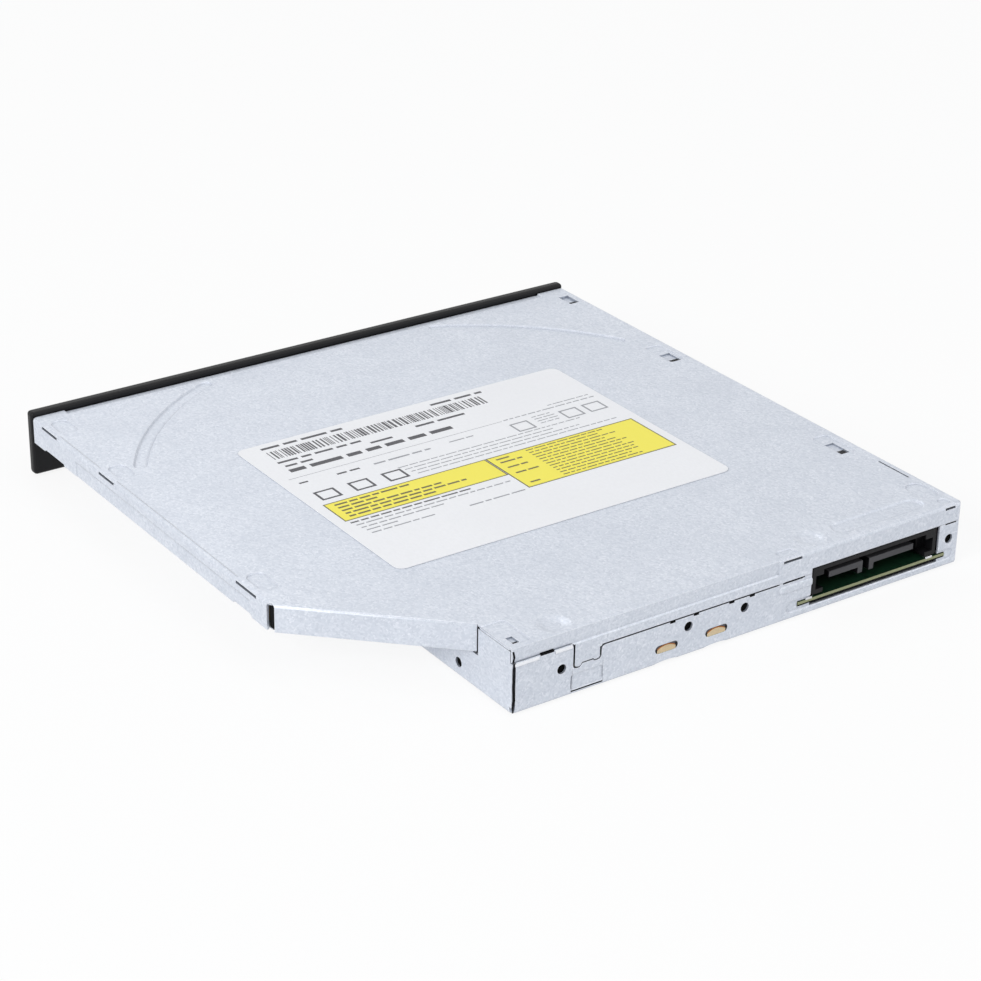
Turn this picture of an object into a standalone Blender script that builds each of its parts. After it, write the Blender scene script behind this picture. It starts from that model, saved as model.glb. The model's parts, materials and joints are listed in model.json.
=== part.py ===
"""Slim tray-load optical disc drive, in metres.

+X is the drive's right side seen from its front, -Y is the front, +Z is up.
The origin is on the bottom plane, at the centre of the case, straight below the spindle.
"""

import math

import bmesh
import bpy
from mathutils import Matrix, Vector

# The disc, and the case's room round it
DISC_RADIUS = 0.060
SIDE_MARGIN = 0.004
DEPTH_MARGIN = 0.00305
COVER_ROOM = 0.0008
SHEET = 0.0005
BEND = 0.0006
RELIEF = 0.0007
CORNER_RELIEF = 0.0009
SEAT_GAP = 0.0003
RUN_GAP = 0.00012
SOLDER_GAP = 0.00005
PIN_CHANNEL_MARGIN = 0.0084
OVERHANG_HEIGHT = 0.00534
SHELF_DROP = 0.0053
CORNER_START_INSET = 0.03535
CORNER_END_INSET = 0.01045
CORNER_SLIT = 0.00035
CORNER_GAP = 0.0001
FLANGE_NOTCH = 0.0012

# Seam between the cover's lips and the case's walls
SIDE_LIP = 0.0035
REAR_LIP = 0.0047
CONNECTOR_LIP = 0.00365
CORNER_LIP = 0.00275
SEAM = 0.00025
HAIRLINE = 0.00006
TAB_INSET = 0.01285
TAB_WIDTH = 0.0055
TAB_DROP = 0.0075
TAB_RISE = 0.0006
TAB_ROUND = 0.0008
SHOULDER_DROP = 0.0030
SHOULDER_DEPTH = 0.00025
CREASE_DROP = 0.00225
CREASE_DEPTH = 0.00012

# Rear connector opening
PORT_INSET = 0.0365
PORT_WIDTH = 0.0311
PORT_SILL = 0.0015
PAN_DROP = 0.00017
PAN_RISE = 0.0022
PAN_RIGHT_REACH = 0.0057
PAN_LEFT_REACH = 0.0039
REAR_PAN_DEPTH = 0.0002
RIDGE_LENGTH = 0.0076
RIDGE_Z = 0.0065
RIDGE_HEIGHT = 0.0016
RIDGE_PROUD = 0.00025

# Screws
SCREW_HEAD = 0.0016
SCREW_CORE = 0.0007
SEAT_CLEARANCE = 0.00008
FOOT_SCREW_INSET = 0.0065
CLAW_ANGLES = (90.0, 210.0, 330.0)

# Screw holes in the walls
WALL_HOLE_RADIUS = 0.00095
WALL_HOLE_Z = 0.0057
SIDE_HOLE_INSET = 0.01589
SIDE_HOLE_Z = 0.00271
COLLAR_RADIUS = 0.00135
REAR_COLLAR = 0.0008
SIDE_COLLAR = 0.00035

# Pressings in the cover
BEAD_MARGIN = 0.0053
BEAD_HALF_WIDTH = 0.0014
BEAD_START = 30.0
BEAD_SWEEP = 35.0
PRESS_DEPTH = 0.00035
PAD_DEPTH = 0.0002
DOME_RADIUS = 0.0032
DOME_RUN = 0.0018
SOFT_RUN = 0.0007
FRONT_STEP = 0.00185
FRONT_STEP_MARGIN = 0.0067

# Label
LABEL_CENTRE = (0.00128, 0.00064)
LABEL_SIZE = (0.0751, 0.0575)
LABEL_THICKNESS = 0.0001
LABEL_CORNER = 0.0018

# Bezel
BEZEL_OVERLAP = 0.0002
BEZEL_PROUD = 0.0008
BEZEL_BOTTOM = 0.0001
BEZEL_THICKNESS = 0.0023
BEZEL_EDGE = 0.0007
BUTTON_INSET = 0.0071
BUTTON_RISE = 0.0024
BUTTON_WIDTH = 0.009
BUTTON_HEIGHT = 0.003
BUTTON_BOARD_DEPTH = 0.0084
BUTTON_TRAVEL = 0.0005
BUTTON_PROUD = 0.00035
LED_SPACING = 0.0105
LED_RADIUS = 0.0009
PINHOLE_SPACING = 0.0185
PINHOLE_RADIUS = 0.0006

# Rails
GUIDE_WALL = 0.0008
GUIDE_LIP = 0.00035
RAIL_SHEET = 0.0004
TONGUE_HEIGHT = 0.00106
TONGUE_REACH = 0.0012
RAIL_SIDE_GAP = 0.00025
RAIL_ZONE = 0.0029
RIGHT_GUIDE_INSET = 0.0022
LEFT_GUIDE_INSET = 0.00355
FOOT_LENGTH = 0.008
FOOT_REACH = 0.0055
FOOT_HEIGHT = 0.001

# Tray
RECESS_MARGIN = 0.0005
RECESS_DROP = 0.0003
SMALL_DISC_RADIUS = 0.0403
SMALL_RECESS = 0.0004
TRAY_RIM = 0.0012
TRAY_FLOOR = 0.0013
TRAY_REAR_GAP = 0.00125
SKIRT = 0.001
SKIRT_SIDE_GAP = 0.0008
SKIRT_REAR_INSET = 0.01355
UNDERPLATE_BOTTOM = 0.0022
UNDERPLATE_SHEET = 0.0004

# Boards
BOARD_THICKNESS = 0.0008
CONNECTOR_BOARD_BOTTOM = 0.0022
BOARD_LEFT_INSET = 0.0037
BOARD_END_MARGIN = 0.0042
BOARD_SLOT_OVERLAP = 0.003
BOARD_SLOT_LEFT = 0.0017
MAIN_BOARD_RISE = 0.0007
CONTROLLER_CHIP = 0.014
DRIVER_CHIP = 0.009
CHIP_HEIGHT = 0.0014

# Rear wall windows that show the board
EYE_XS = (0.0053, -0.0058)
EYE_LENGTH = 0.005
EYE_HEIGHT = 0.0016
EYE_Z = 0.003

# Connector
TONGUE_RISE = 0.0029
DATA_TONGUE_INSET = 0.0051
DATA_TONGUE_WIDTH = 0.0076
POWER_TONGUE_INSET = 0.0153
POWER_TONGUE_WIDTH = 0.0103
HOUSING_DEPTH = 0.0072
HOUSING_END = 0.0026
HOUSING_WALL = 0.0008

# Flat cable
CABLE_X = -0.007
CABLE_WIDTH = 0.014
CABLE_THICKNESS = 0.00015
CABLE_LOW = 0.00075
CABLE_BEND_INSET = 0.03305
TRAY_CONNECTOR_INSET = 0.0128
FLEX_CONNECTOR_DEPTH = 0.004

# Disc mechanism deck, laid out along the sled's travel
DECK_ANGLE = 225.0
DECK_BACK_MARGIN = 0.007
DECK_FRONT_MARGIN = 0.006
DECK_SIDE = 0.004
DECK_NOSE = 0.007
DECK_RISE = 0.0011
DECK_PLATE = 0.001
DECK_WALL = 0.0029
DECK_COVER_SHEET = 0.0004
DISC_CLEARANCE = 0.0019
ROD_RADIUS = 0.001
ROD_SPACING = 0.028
ROD_RISE = 0.0013
WINDOW_MARGIN = 0.0015
LENS_HOME = 0.024
LENS_EDGE_MARGIN = 0.003
SLED_CLEARANCE = 0.004
SLED_FRONT = 0.0055
SLED_SIDE = 0.0023
SLED_DROP = 0.0002
POD_INSET = 0.0048
LENS_RADIUS = 0.0018
HOLDER_LENGTH = 0.0072
HOLDER_WIDTH = 0.0084
HOLDER_HEIGHT = 0.0010
FOCUS_TRAVEL = 0.0004
SCREW_SPACING = 0.0060
SCREW_RISE = 0.0012
SCREW_RADIUS = 0.0010
MOTOR_RADIUS = 0.0019
MOTOR_LENGTH = 0.011

# Spindle
NOSE_RADIUS = 0.0073
TABLE_RADIUS = 0.0125
ROTOR_RADIUS = 0.011
ROTOR_HEIGHT = 0.0047
SHAFT_RADIUS = 0.001
CLAW_WIDTH = 0.0028
CLAW_TIP = 0.00765
CLAW_TRAVEL = 0.0006

# Deck mounting
GROMMET_RADIUS = 0.0029
GROMMET_WAIST = 0.0021
EAR_REACH = 0.0023
DECK_SCREW_RADIUS = 0.0008
FIXING_INSET = 0.0045
FIXING_FRONT_INSET = 0.0085

# Tray lock
PIN_INSET = 0.0051
PIN_FRONT_INSET = 0.01705
PIN_CHANNEL = 0.0022
LOCK_PIN_RADIUS = 0.0012
LATCH_ARM = 0.0024
LATCH_RISE = 0.0023
LATCH_SHEET = 0.0008
PLUNGER_SPACING = 0.0105
PLUNGER_RADIUS = 0.0015
PLUNGER_DEPTH = 0.0050
SOLENOID_WIDTH = 0.008
SOLENOID_LENGTH = 0.012
SOLENOID_GAP = 0.006
SOLENOID_BORE = 0.0095

# Eject spring
PUSHER_INSET = 0.0069
PLATE_SCREW_INSET = 0.0100
PLATE_SCREW_REAR = 0.0075
PUSHER_DROP = 0.0024

# Heights that follow, from the floor up
UNDERPLATE_TOP = UNDERPLATE_BOTTOM + UNDERPLATE_SHEET
MAIN_BOARD_BOTTOM = UNDERPLATE_TOP + MAIN_BOARD_RISE
DECK_PLATE_BOTTOM = UNDERPLATE_TOP + DECK_RISE
DECK_PLATE_TOP = DECK_PLATE_BOTTOM + DECK_PLATE
DECK_WALL_TOP = DECK_PLATE_TOP + DECK_WALL
DECK_COVER_BOTTOM = DECK_WALL_TOP + SEAT_GAP
ROD_Z = DECK_PLATE_TOP + ROD_RISE
SCREW_Z = DECK_PLATE_TOP + SCREW_RISE
SLED_TOP = DECK_WALL_TOP - SLED_DROP
DISC_HEIGHT = DECK_COVER_BOTTOM + DECK_COVER_SHEET + DISC_CLEARANCE
ROTOR_BOTTOM = DISC_HEIGHT - ROTOR_HEIGHT
RECESS_FLOOR = DISC_HEIGHT - RECESS_DROP
TRAY_UNDERSIDE = RECESS_FLOOR - TRAY_FLOOR
TRAY_TOP = DISC_HEIGHT + TRAY_RIM
INNER_TOP = TRAY_TOP + COVER_ROOM
TOP = INNER_TOP + SHEET
FLANGE_BOTTOM = TOP - OVERHANG_HEIGHT
SHELF_BOTTOM = TOP - SHELF_DROP
SHELF_TOP = SHELF_BOTTOM + SHEET
GROMMET_BOTTOM = DECK_PLATE_BOTTOM - 0.0005
GROMMET_TOP = DECK_PLATE_TOP + 0.0006
BUTTON_Z = UNDERPLATE_TOP + BUTTON_RISE
CABLE_HIGH = UNDERPLATE_BOTTOM - SEAT_GAP
TONGUE_Z = CONNECTOR_BOARD_BOTTOM + BOARD_THICKNESS + TONGUE_RISE
LATCH_Z = UNDERPLATE_TOP + LATCH_RISE
LOCK_PIN_TOP = LATCH_Z + LATCH_SHEET + 0.0008
PUSHER_Z = TRAY_UNDERSIDE - PUSHER_DROP

# The deck's places that follow, in its own frame
RECESS_RADIUS = DISC_RADIUS + RECESS_MARGIN
BEAD_RADIUS = DISC_RADIUS + BEAD_MARGIN
DECK_BACK = -ROTOR_RADIUS - DECK_BACK_MARGIN
DECK_FRONT = DISC_RADIUS + DECK_FRONT_MARGIN
SCREW_OFFSET = ROD_SPACING / 2 + SCREW_SPACING
DECK_HALF_WIDTH = SCREW_OFFSET + DECK_SIDE
SLED_TRAVEL = DISC_RADIUS - LENS_EDGE_MARGIN - LENS_HOME
SLED_START = ROTOR_RADIUS + SLED_CLEARANCE
SLED_END = LENS_HOME + SLED_TRAVEL + SLED_FRONT
SLED_HALF_WIDTH = ROD_SPACING / 2 + SLED_SIDE
POD_HALF_WIDTH = ROD_SPACING / 2 - POD_INSET
DECK_FIXINGS = ((DECK_BACK + FIXING_INSET, FIXING_INSET - DECK_HALF_WIDTH),
                (DECK_BACK + 0.0050, ROD_SPACING / 2 - FIXING_INSET),
                (DECK_FRONT - FIXING_FRONT_INSET, FIXING_INSET - DECK_HALF_WIDTH))
GROMMET_BORE = DECK_SCREW_RADIUS + 0.0002
MOTOR_START = DECK_BACK + 0.0028
DECK_SCREW_END = DECK_FRONT - DECK_NOSE + 0.0006
CLAW_INNER = NOSE_RADIUS - 0.0019

# Places that follow, seen from above
RIGHT = DISC_RADIUS + SIDE_MARGIN
LEFT = -RIGHT
REAR = DISC_RADIUS + DEPTH_MARGIN
FRONT = -REAR
INNER_REAR = REAR - SHEET
STEP_X = (DECK_HALF_WIDTH - DECK_BACK) / math.sqrt(2) + PIN_CHANNEL_MARGIN
CORNER_Y_START = REAR - CORNER_START_INSET
CORNER_Y_END = REAR - CORNER_END_INSET
BEZEL_BACK = FRONT - SEAT_GAP
BEZEL_FRONT = BEZEL_BACK - BEZEL_THICKNESS
BUTTON_X = STEP_X - BUTTON_INSET
LED_X = BUTTON_X - LED_SPACING
PINHOLE_X = BUTTON_X - PINHOLE_SPACING
TRAY_EDGE = RIGHT - SHEET - SEAT_GAP - RAIL_ZONE
RAIL_OUTER = RIGHT - SHEET - SEAT_GAP - GUIDE_WALL - RAIL_SIDE_GAP
GUIDE_BOTTOM = SHELF_TOP + RAIL_SIDE_GAP
GUIDE_TOP = GUIDE_BOTTOM + 2 * (GUIDE_LIP + RAIL_SHEET + 2 * RUN_GAP) + TONGUE_HEIGHT
RIGHT_GUIDE_END = CORNER_Y_START - RIGHT_GUIDE_INSET
LEFT_GUIDE_END = REAR - LEFT_GUIDE_INSET
STOP_NOTCH_X = STEP_X - 0.0041
STOP_NOTCH_Y = REAR - 0.0093
SKIRT_RIGHT = STEP_X - SHEET - SKIRT_SIDE_GAP
SKIRT_REAR_LEFT = REAR - SKIRT_REAR_INSET
LOCK_PIN = (STEP_X - PIN_INSET, FRONT + PIN_FRONT_INSET)
LATCH_PIVOT = (LOCK_PIN[0] - 0.0060, LOCK_PIN[1] + 0.0160)
LATCH_HOOK = (LOCK_PIN[0] - 0.0037, LOCK_PIN[1] + 0.0028)
PLUNGER_X = LATCH_PIVOT[0] - PLUNGER_SPACING
PLUNGER_NECK = 0.0008
PLUNGER_GROOVE = 0.0024
SOLENOID_REAR = LATCH_PIVOT[1] - SOLENOID_GAP
SOLENOID_Y = (SOLENOID_REAR - SOLENOID_LENGTH, SOLENOID_REAR)
PIN_CHANNEL_LEFT = LOCK_PIN[0] - PIN_CHANNEL
PUSHER_X = PIN_CHANNEL_LEFT - PUSHER_INSET
UNDERPLATE_SCREWS = ((LEFT + PLATE_SCREW_INSET, SKIRT_REAR_LEFT - PLATE_SCREW_REAR),
                     (PIN_CHANNEL_LEFT - 0.0040, SKIRT_REAR_LEFT - 0.0045))
PORT_RIGHT = LEFT + PORT_INSET
PORT_LEFT = PORT_RIGHT - PORT_WIDTH
DATA_RIGHT = PORT_RIGHT - DATA_TONGUE_INSET
DATA_TONGUE = (DATA_RIGHT - DATA_TONGUE_WIDTH, DATA_RIGHT)
POWER_RIGHT = PORT_RIGHT - POWER_TONGUE_INSET
POWER_TONGUE = (POWER_RIGHT - POWER_TONGUE_WIDTH, POWER_RIGHT)
SEAM_END = PORT_RIGHT + RIDGE_LENGTH
VENT_XS = (0.00417, -0.00105, PORT_RIGHT + 0.0185, PORT_RIGHT + 0.01385)
CONNECTOR_BOARD_LEFT = LEFT + BOARD_LEFT_INSET
CONNECTOR_BOARD_RIGHT = EYE_XS[0] + BOARD_END_MARGIN
CONNECTOR_BOARD_FRONT = SKIRT_REAR_LEFT + 0.0008
TRAY_CONNECTOR_Y = SKIRT_REAR_LEFT - TRAY_CONNECTOR_INSET
CABLE_BEND_Y = FRONT + CABLE_BEND_INSET
TAB_RIGHT = STEP_X - TAB_INSET
REAR_HOLES_X = (STEP_X - 0.01025, 0.00058, -0.01206, LEFT + 0.00291)
REAR_SLOT_XS = ((LEFT + 0.0019, LEFT + 0.0044), (PORT_RIGHT + 0.0026, PORT_RIGHT + 0.0069))
CORNER_SLOT_X = (STEP_X - 0.0086, STEP_X - 0.0057)
FOOT_YS = (FRONT + 0.01305, -0.004, REAR - 0.02505)
SCALLOP_YS = (FRONT + 0.00455, FRONT + 0.01305)
NOTCH_YS = (CORNER_Y_START - 0.0127, CORNER_Y_START - 0.0059)
CREASE_YS = (FRONT + 0.0180, CORNER_Y_START - 0.0067)
BEND_SLOT_YS = ((FRONT + 0.00375, FRONT + 0.01015), (FRONT + 0.0277, FRONT + 0.03375),
                (CORNER_Y_START - 0.0114, CORNER_Y_START - 0.0044))
COVER_HOLES = ((0.0018, 0.0042, FRONT + 0.00425, FRONT + 0.00865),
               (0.0026, 0.0052, FRONT + 0.04115, FRONT + 0.04545),
               (0.0032, 0.0053, REAR - 0.03285, REAR - 0.02795),
               (0.0014, 0.0018, REAR - 0.02145, REAR - 0.01305))

# Finishes: colour, roughness, metallic
STEEL = ((0.66, 0.70, 0.76), 0.38, 0.9)
BRIGHT_STEEL = ((0.72, 0.73, 0.75), 0.22, 1.0)
PAPER = ((0.91, 0.92, 0.94), 0.7, 0.0)
BLACK_PLASTIC = ((0.012, 0.012, 0.014), 0.35, 0.0)
GREY_PLASTIC = ((0.10, 0.10, 0.11), 0.5, 0.0)
BEIGE_PLASTIC = ((0.58, 0.49, 0.33), 0.5, 0.0)
BOARD_GREEN = ((0.02, 0.13, 0.06), 0.4, 0.0)
BLACK_PAINT = ((0.02, 0.02, 0.022), 0.45, 0.2)
RUBBER = ((0.03, 0.03, 0.03), 0.85, 0.0)
COPPER_FILM = ((0.55, 0.26, 0.07), 0.35, 0.3)
CLEAR_LENS = ((0.55, 0.75, 0.85), 0.05, 0.0)
LED_PLASTIC = ((0.30, 0.65, 0.25), 0.2, 0.0)

for old_object in list(bpy.data.objects):
    bpy.data.objects.remove(old_object, do_unlink=True)

parts = bpy.data.collections.new("slim_optical_drive")
cutters = bpy.data.collections.new("cutters")
bpy.context.scene.collection.children.link(parts)
bpy.context.scene.collection.children.link(cutters)


# Helpers

def finish_material(name, finish):
    colour, roughness, metallic = finish
    made = bpy.data.materials.new(name)
    made.use_nodes = True
    shader = made.node_tree.nodes["Principled BSDF"]
    shader.inputs["Base Color"].default_value = (*colour, 1.0)
    shader.inputs["Roughness"].default_value = roughness
    shader.inputs["Metallic"].default_value = metallic
    return made


def dress(obj, finish):
    obj.data.materials.clear()
    obj.data.materials.append(finish_material(obj.name + "_finish", finish))
    return obj


def hide_as_cutter(obj):
    for holder in list(obj.users_collection):
        holder.objects.unlink(obj)
    cutters.objects.link(obj)
    obj.hide_render = True
    obj.display_type = "WIRE"
    return obj


def object_from(bm, name, location=(0, 0, 0)):
    mesh = bpy.data.meshes.new(name)
    bm.to_mesh(mesh)
    bm.free()
    obj = bpy.data.objects.new(name, mesh)
    obj.location = location
    parts.objects.link(obj)
    return obj


def round_shading(obj):
    obj.data.shade_smooth()
    obj.data.set_sharp_from_angle(angle=math.radians(35))
    return obj


def block(name, x, y, z, finish=None):
    """A box between the limits given as (low, high) on each axis."""
    centre = Vector(((x[0] + x[1]) / 2, (y[0] + y[1]) / 2, (z[0] + z[1]) / 2))
    size = Vector((x[1] - x[0], y[1] - y[0], z[1] - z[0]))
    bm = bmesh.new()
    bmesh.ops.create_cube(bm, size=1.0, matrix=Matrix.Diagonal((*size, 1.0)))
    obj = object_from(bm, name, centre)
    return dress(obj, finish) if finish else obj


def bar(name, radius, start, length, axis, finish=None, segments=24):
    """A round piece lying along the X or Y axis from its start point."""
    bm = bmesh.new()
    bmesh.ops.create_cone(bm, cap_ends=True, segments=segments, radius1=radius,
                          radius2=radius, depth=length)
    obj = round_shading(object_from(bm, name))
    direction = {"X": Vector((1, 0, 0)), "Y": Vector((0, 1, 0))}[axis]
    obj.rotation_euler = direction.to_track_quat("Z", "Y").to_euler()
    obj.location = Vector(start) + direction * length / 2
    return dress(obj, finish) if finish else obj


def as_mesh(obj):
    """The same object as a mesh with welded caps, so that it can be cut or joined."""
    evaluated = obj.evaluated_get(bpy.context.evaluated_depsgraph_get())
    mesh = bpy.data.meshes.new_from_object(evaluated)
    name = obj.name
    place = obj.matrix_world.copy()
    bpy.data.objects.remove(obj, do_unlink=True)
    bm = bmesh.new()
    bm.from_mesh(mesh)
    bmesh.ops.remove_doubles(bm, verts=bm.verts, dist=1e-7)
    bmesh.ops.recalc_face_normals(bm, faces=bm.faces)
    bm.to_mesh(mesh)
    bm.free()
    mesh.name = name
    made = bpy.data.objects.new(name, mesh)
    made.matrix_world = place
    parts.objects.link(made)
    return made


def outline_curve(name, loops, thickness):
    """Flat outlines filled and extruded; the first loop is the edge, the rest are holes."""
    curve = bpy.data.curves.new(name, "CURVE")
    curve.dimensions = "2D"
    curve.fill_mode = "BOTH"
    curve.extrude = thickness / 2
    for loop in loops:
        spline = curve.splines.new("POLY")
        spline.points.add(len(loop) - 1)
        for point, (x, y) in zip(spline.points, loop):
            point.co = (x, y, 0.0, 1.0)
        spline.use_cyclic_u = True
    obj = bpy.data.objects.new(name, curve)
    parts.objects.link(obj)
    return obj


def plate(name, loops, z, finish=None):
    """A flat piece seen from above, between two heights."""
    obj = outline_curve(name, loops, z[1] - z[0])
    obj.location = (0, 0, (z[0] + z[1]) / 2)
    bpy.context.view_layer.update()
    made = as_mesh(obj)
    return dress(made, finish) if finish else made


def section_along_y(name, loop, y, finish=None):
    """A section drawn in X and Z, extruded from one Y to another."""
    obj = outline_curve(name, [loop], y[1] - y[0])
    obj.rotation_euler = (math.pi / 2, 0, 0)
    obj.location = (0, (y[0] + y[1]) / 2, 0)
    bpy.context.view_layer.update()
    made = as_mesh(obj)
    return dress(made, finish) if finish else made


def section_along_x(name, loop, x, finish=None):
    """A section drawn in Y and Z, extruded from one X to another."""
    obj = outline_curve(name, [loop], x[1] - x[0])
    obj.rotation_euler = (math.pi / 2, 0, math.pi / 2)
    obj.location = ((x[0] + x[1]) / 2, 0, 0)
    bpy.context.view_layer.update()
    made = as_mesh(obj)
    return dress(made, finish) if finish else made


def turned(name, profile, at, finish, steps=32):
    """A turned piece about the vertical; the profile runs down its outer side."""
    bm = bmesh.new()
    points = [bm.verts.new((radius, 0.0, height)) for radius, height in profile]
    for first, second in zip(points, points[1:]):
        bm.edges.new((first, second))
    obj = object_from(bm, name, (at[0], at[1], 0.0))
    screw = obj.modifiers.new("turn", "SCREW")
    screw.steps = steps
    screw.render_steps = steps
    screw.use_merge_vertices = True
    screw.merge_threshold = 0.00001
    screw.use_smooth_shade = True
    return dress(obj, finish)


def boolean(obj, tool, operation="DIFFERENCE"):
    modifier = obj.modifiers.new(tool.name, "BOOLEAN")
    modifier.operation = operation
    modifier.object = tool
    modifier.solver = "EXACT"
    hide_as_cutter(tool)
    return obj


def cut(obj, *tools):
    for tool in tools:
        boolean(obj, tool, "DIFFERENCE")
    return obj


def join(obj, *tools):
    for tool in tools:
        boolean(obj, tool, "UNION")
    return obj


def bevel(obj, width, segments=2, angle=40.0):
    modifier = obj.modifiers.new("edge", "BEVEL")
    modifier.width = width
    modifier.segments = segments
    modifier.limit_method = "ANGLE"
    modifier.angle_limit = math.radians(angle)
    return obj


def blocks(name, boxes):
    """One cutter or joining piece made of several boxes that stand apart."""
    bm = bmesh.new()
    for x, y, z in boxes:
        centre = Matrix.Translation(((x[0] + x[1]) / 2, (y[0] + y[1]) / 2, (z[0] + z[1]) / 2))
        size = Matrix.Diagonal((x[1] - x[0], y[1] - y[0], z[1] - z[0], 1.0))
        bmesh.ops.create_cube(bm, size=1.0, matrix=centre @ size)
    return object_from(bm, name)


def posts(name, places, radius, z, segments=20):
    """Several upright round pieces in one cutter or joining piece."""
    bm = bmesh.new()
    for x, y in places:
        middle = Matrix.Translation((x, y, (z[0] + z[1]) / 2))
        bmesh.ops.create_cone(bm, cap_ends=True, segments=segments, radius1=radius,
                              radius2=radius, depth=z[1] - z[0], matrix=middle)
    return object_from(bm, name)


def around(value, half):
    return (value - half, value + half)


def arc_points(centre, radius, start, sweep, count):
    """Points on an arc, with its angles in degrees."""
    found = []
    for step in range(count + 1):
        angle = math.radians(start + sweep * step / count)
        found.append((centre[0] + radius * math.cos(angle), centre[1] + radius * math.sin(angle)))
    return found


def rounded_rectangle(x, y, radius, grow=0.0, count=4):
    x0, x1 = x[0] - grow, x[1] + grow
    y0, y1 = y[0] - grow, y[1] + grow
    radius = max(radius + grow, 0.00005)
    corners = ((x1 - radius, y0 + radius, -90), (x1 - radius, y1 - radius, 0),
               (x0 + radius, y1 - radius, 90), (x0 + radius, y0 + radius, 180))
    found = []
    for cx, cy, start in corners:
        found += arc_points((cx, cy), radius, start, 90, count)
    return found


def arc_band(centre, radius, half_width, start, sweep, grow=0.0, count=12):
    """A curved slot of constant width with round ends."""
    half = half_width + grow
    outer = arc_points(centre, radius + half, start, sweep, count)
    end = math.radians(start + sweep)
    end_centre = (centre[0] + radius * math.cos(end), centre[1] + radius * math.sin(end))
    end_cap = arc_points(end_centre, half, start + sweep + 45, 90, 2)
    inner = list(reversed(arc_points(centre, radius - half, start, sweep, count)))
    begin = math.radians(start)
    begin_centre = (centre[0] + radius * math.cos(begin), centre[1] + radius * math.sin(begin))
    begin_cap = arc_points(begin_centre, half, start + 225, 90, 2)
    return outer + end_cap + inner + begin_cap


def loft_through(bm, loops, place):
    """A closed body through a row of loops of as many points each."""
    rings = [[bm.verts.new(place @ Vector(point)) for point in loop] for loop in loops]
    count = len(rings[0])
    for lower, upper in zip(rings, rings[1:]):
        for index in range(count):
            following = (index + 1) % count
            bm.faces.new((lower[index], lower[following], upper[following], upper[index]))
    bm.faces.new(list(reversed(rings[0])))
    bm.faces.new(rings[-1])


def press_steps(depth, run):
    """Height and growth of a hollow's rings from its bottom up, and of the pan under it."""
    if not run:
        hollow = [(-depth, -depth), (SHEET / 2, SHEET / 2)]
        pan = [(-depth - SHEET, SHEET * 0.4 - depth), (-SHEET * 0.6, SHEET * 0.6)]
        return hollow, pan
    eased = [(-depth * (1 + math.cos(math.pi * share)) / 2, run * (share - 1))
             for share in (0.0, 0.3, 0.6, 1.0)]
    hollow = eased + [(SHEET / 2, 0.0)]
    pan = [(height - SHEET, growth) for height, growth in eased[:-1]]
    return hollow, pan + [(-SHEET * 0.6, SHEET * 0.3)]


def pressed(sheet, name, pressings, place, limits=None):
    """Presses hollows into a sheet: each keeps the sheet's thickness below it.

    A pressing is (outline function of its growth, depth, width of its rounded edge or 0).
    The place takes the outline's plane to the sheet's outer face, with its Z pointing out
    of the sheet. The limits keep the pressed metal inside the sheet's own edges.
    """
    pans = bmesh.new()
    hollows = bmesh.new()
    for outline, depth, run in pressings:
        hollow, pan = press_steps(depth, run)
        loft_through(hollows, [[(x, y, z) for x, y in outline(grow)] for z, grow in hollow], place)
        rings = []
        for z, grow in pan:
            loop = [clamped(point, limits) if limits else point for point in outline(grow)]
            rings.append([(x, y, z) for x, y in loop])
        loft_through(pans, rings, place)
    join(sheet, object_from(pans, name + "_pans"))
    cut(sheet, object_from(hollows, name + "_hollows"))
    return sheet


def clamped(point, limits):
    (x0, x1), (y0, y1) = limits
    return (min(max(point[0], x0), x1), min(max(point[1], y0), y1))


def rounded_corners(points, radius, which, count=3):
    """An open line of points with the numbered corners rounded."""
    found = []
    for index, point in enumerate(points):
        if index not in which:
            found.append(point)
            continue
        here = Vector(point)
        before = (Vector(points[index - 1]) - here).normalized() * radius
        after = (Vector(points[index + 1]) - here).normalized() * radius
        for step in range(count + 1):
            share = step / count
            found.append(tuple(here + before * (1 - share) ** 2 + after * share ** 2))
    return found


def corner_notch(corner, incoming, outgoing, size=RELIEF):
    """The three points that open a sheet's corner between two folds."""
    corner = Vector(corner)
    before = Vector(incoming) * size
    after = Vector(outgoing) * size
    return [tuple(corner - before), tuple(corner - before + after), tuple(corner + after)]


def folded_sheet(name, panels, finish):
    """Sheet metal from flat panels that share their fold lines, outer faces outwards."""
    bm = bmesh.new()
    corners = {}
    for panel in panels:
        loop = []
        for point in panel:
            key = tuple(round(value, 7) for value in point)
            if key not in corners:
                corners[key] = bm.verts.new(point)
            loop.append(corners[key])
        bm.faces.new(loop)
    obj = object_from(bm, name)
    bevel(obj, BEND, segments=2, angle=30.0)
    solidify = obj.modifiers.new("sheet", "SOLIDIFY")
    solidify.thickness = SHEET
    solidify.offset = -1.0
    solidify.use_even_offset = True
    return dress(obj, finish)


def corner_line_y(x, inset):
    """The Y at which the cut corner's edge, moved inwards, meets a given X."""
    along = Vector((STEP_X - RIGHT, CORNER_Y_END - CORNER_Y_START)).normalized()
    normal = Vector((along.y, -along.x))
    reach = normal.dot(Vector((RIGHT, CORNER_Y_START))) - inset
    return (reach - normal.x * x) / normal.y


# Case

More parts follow.
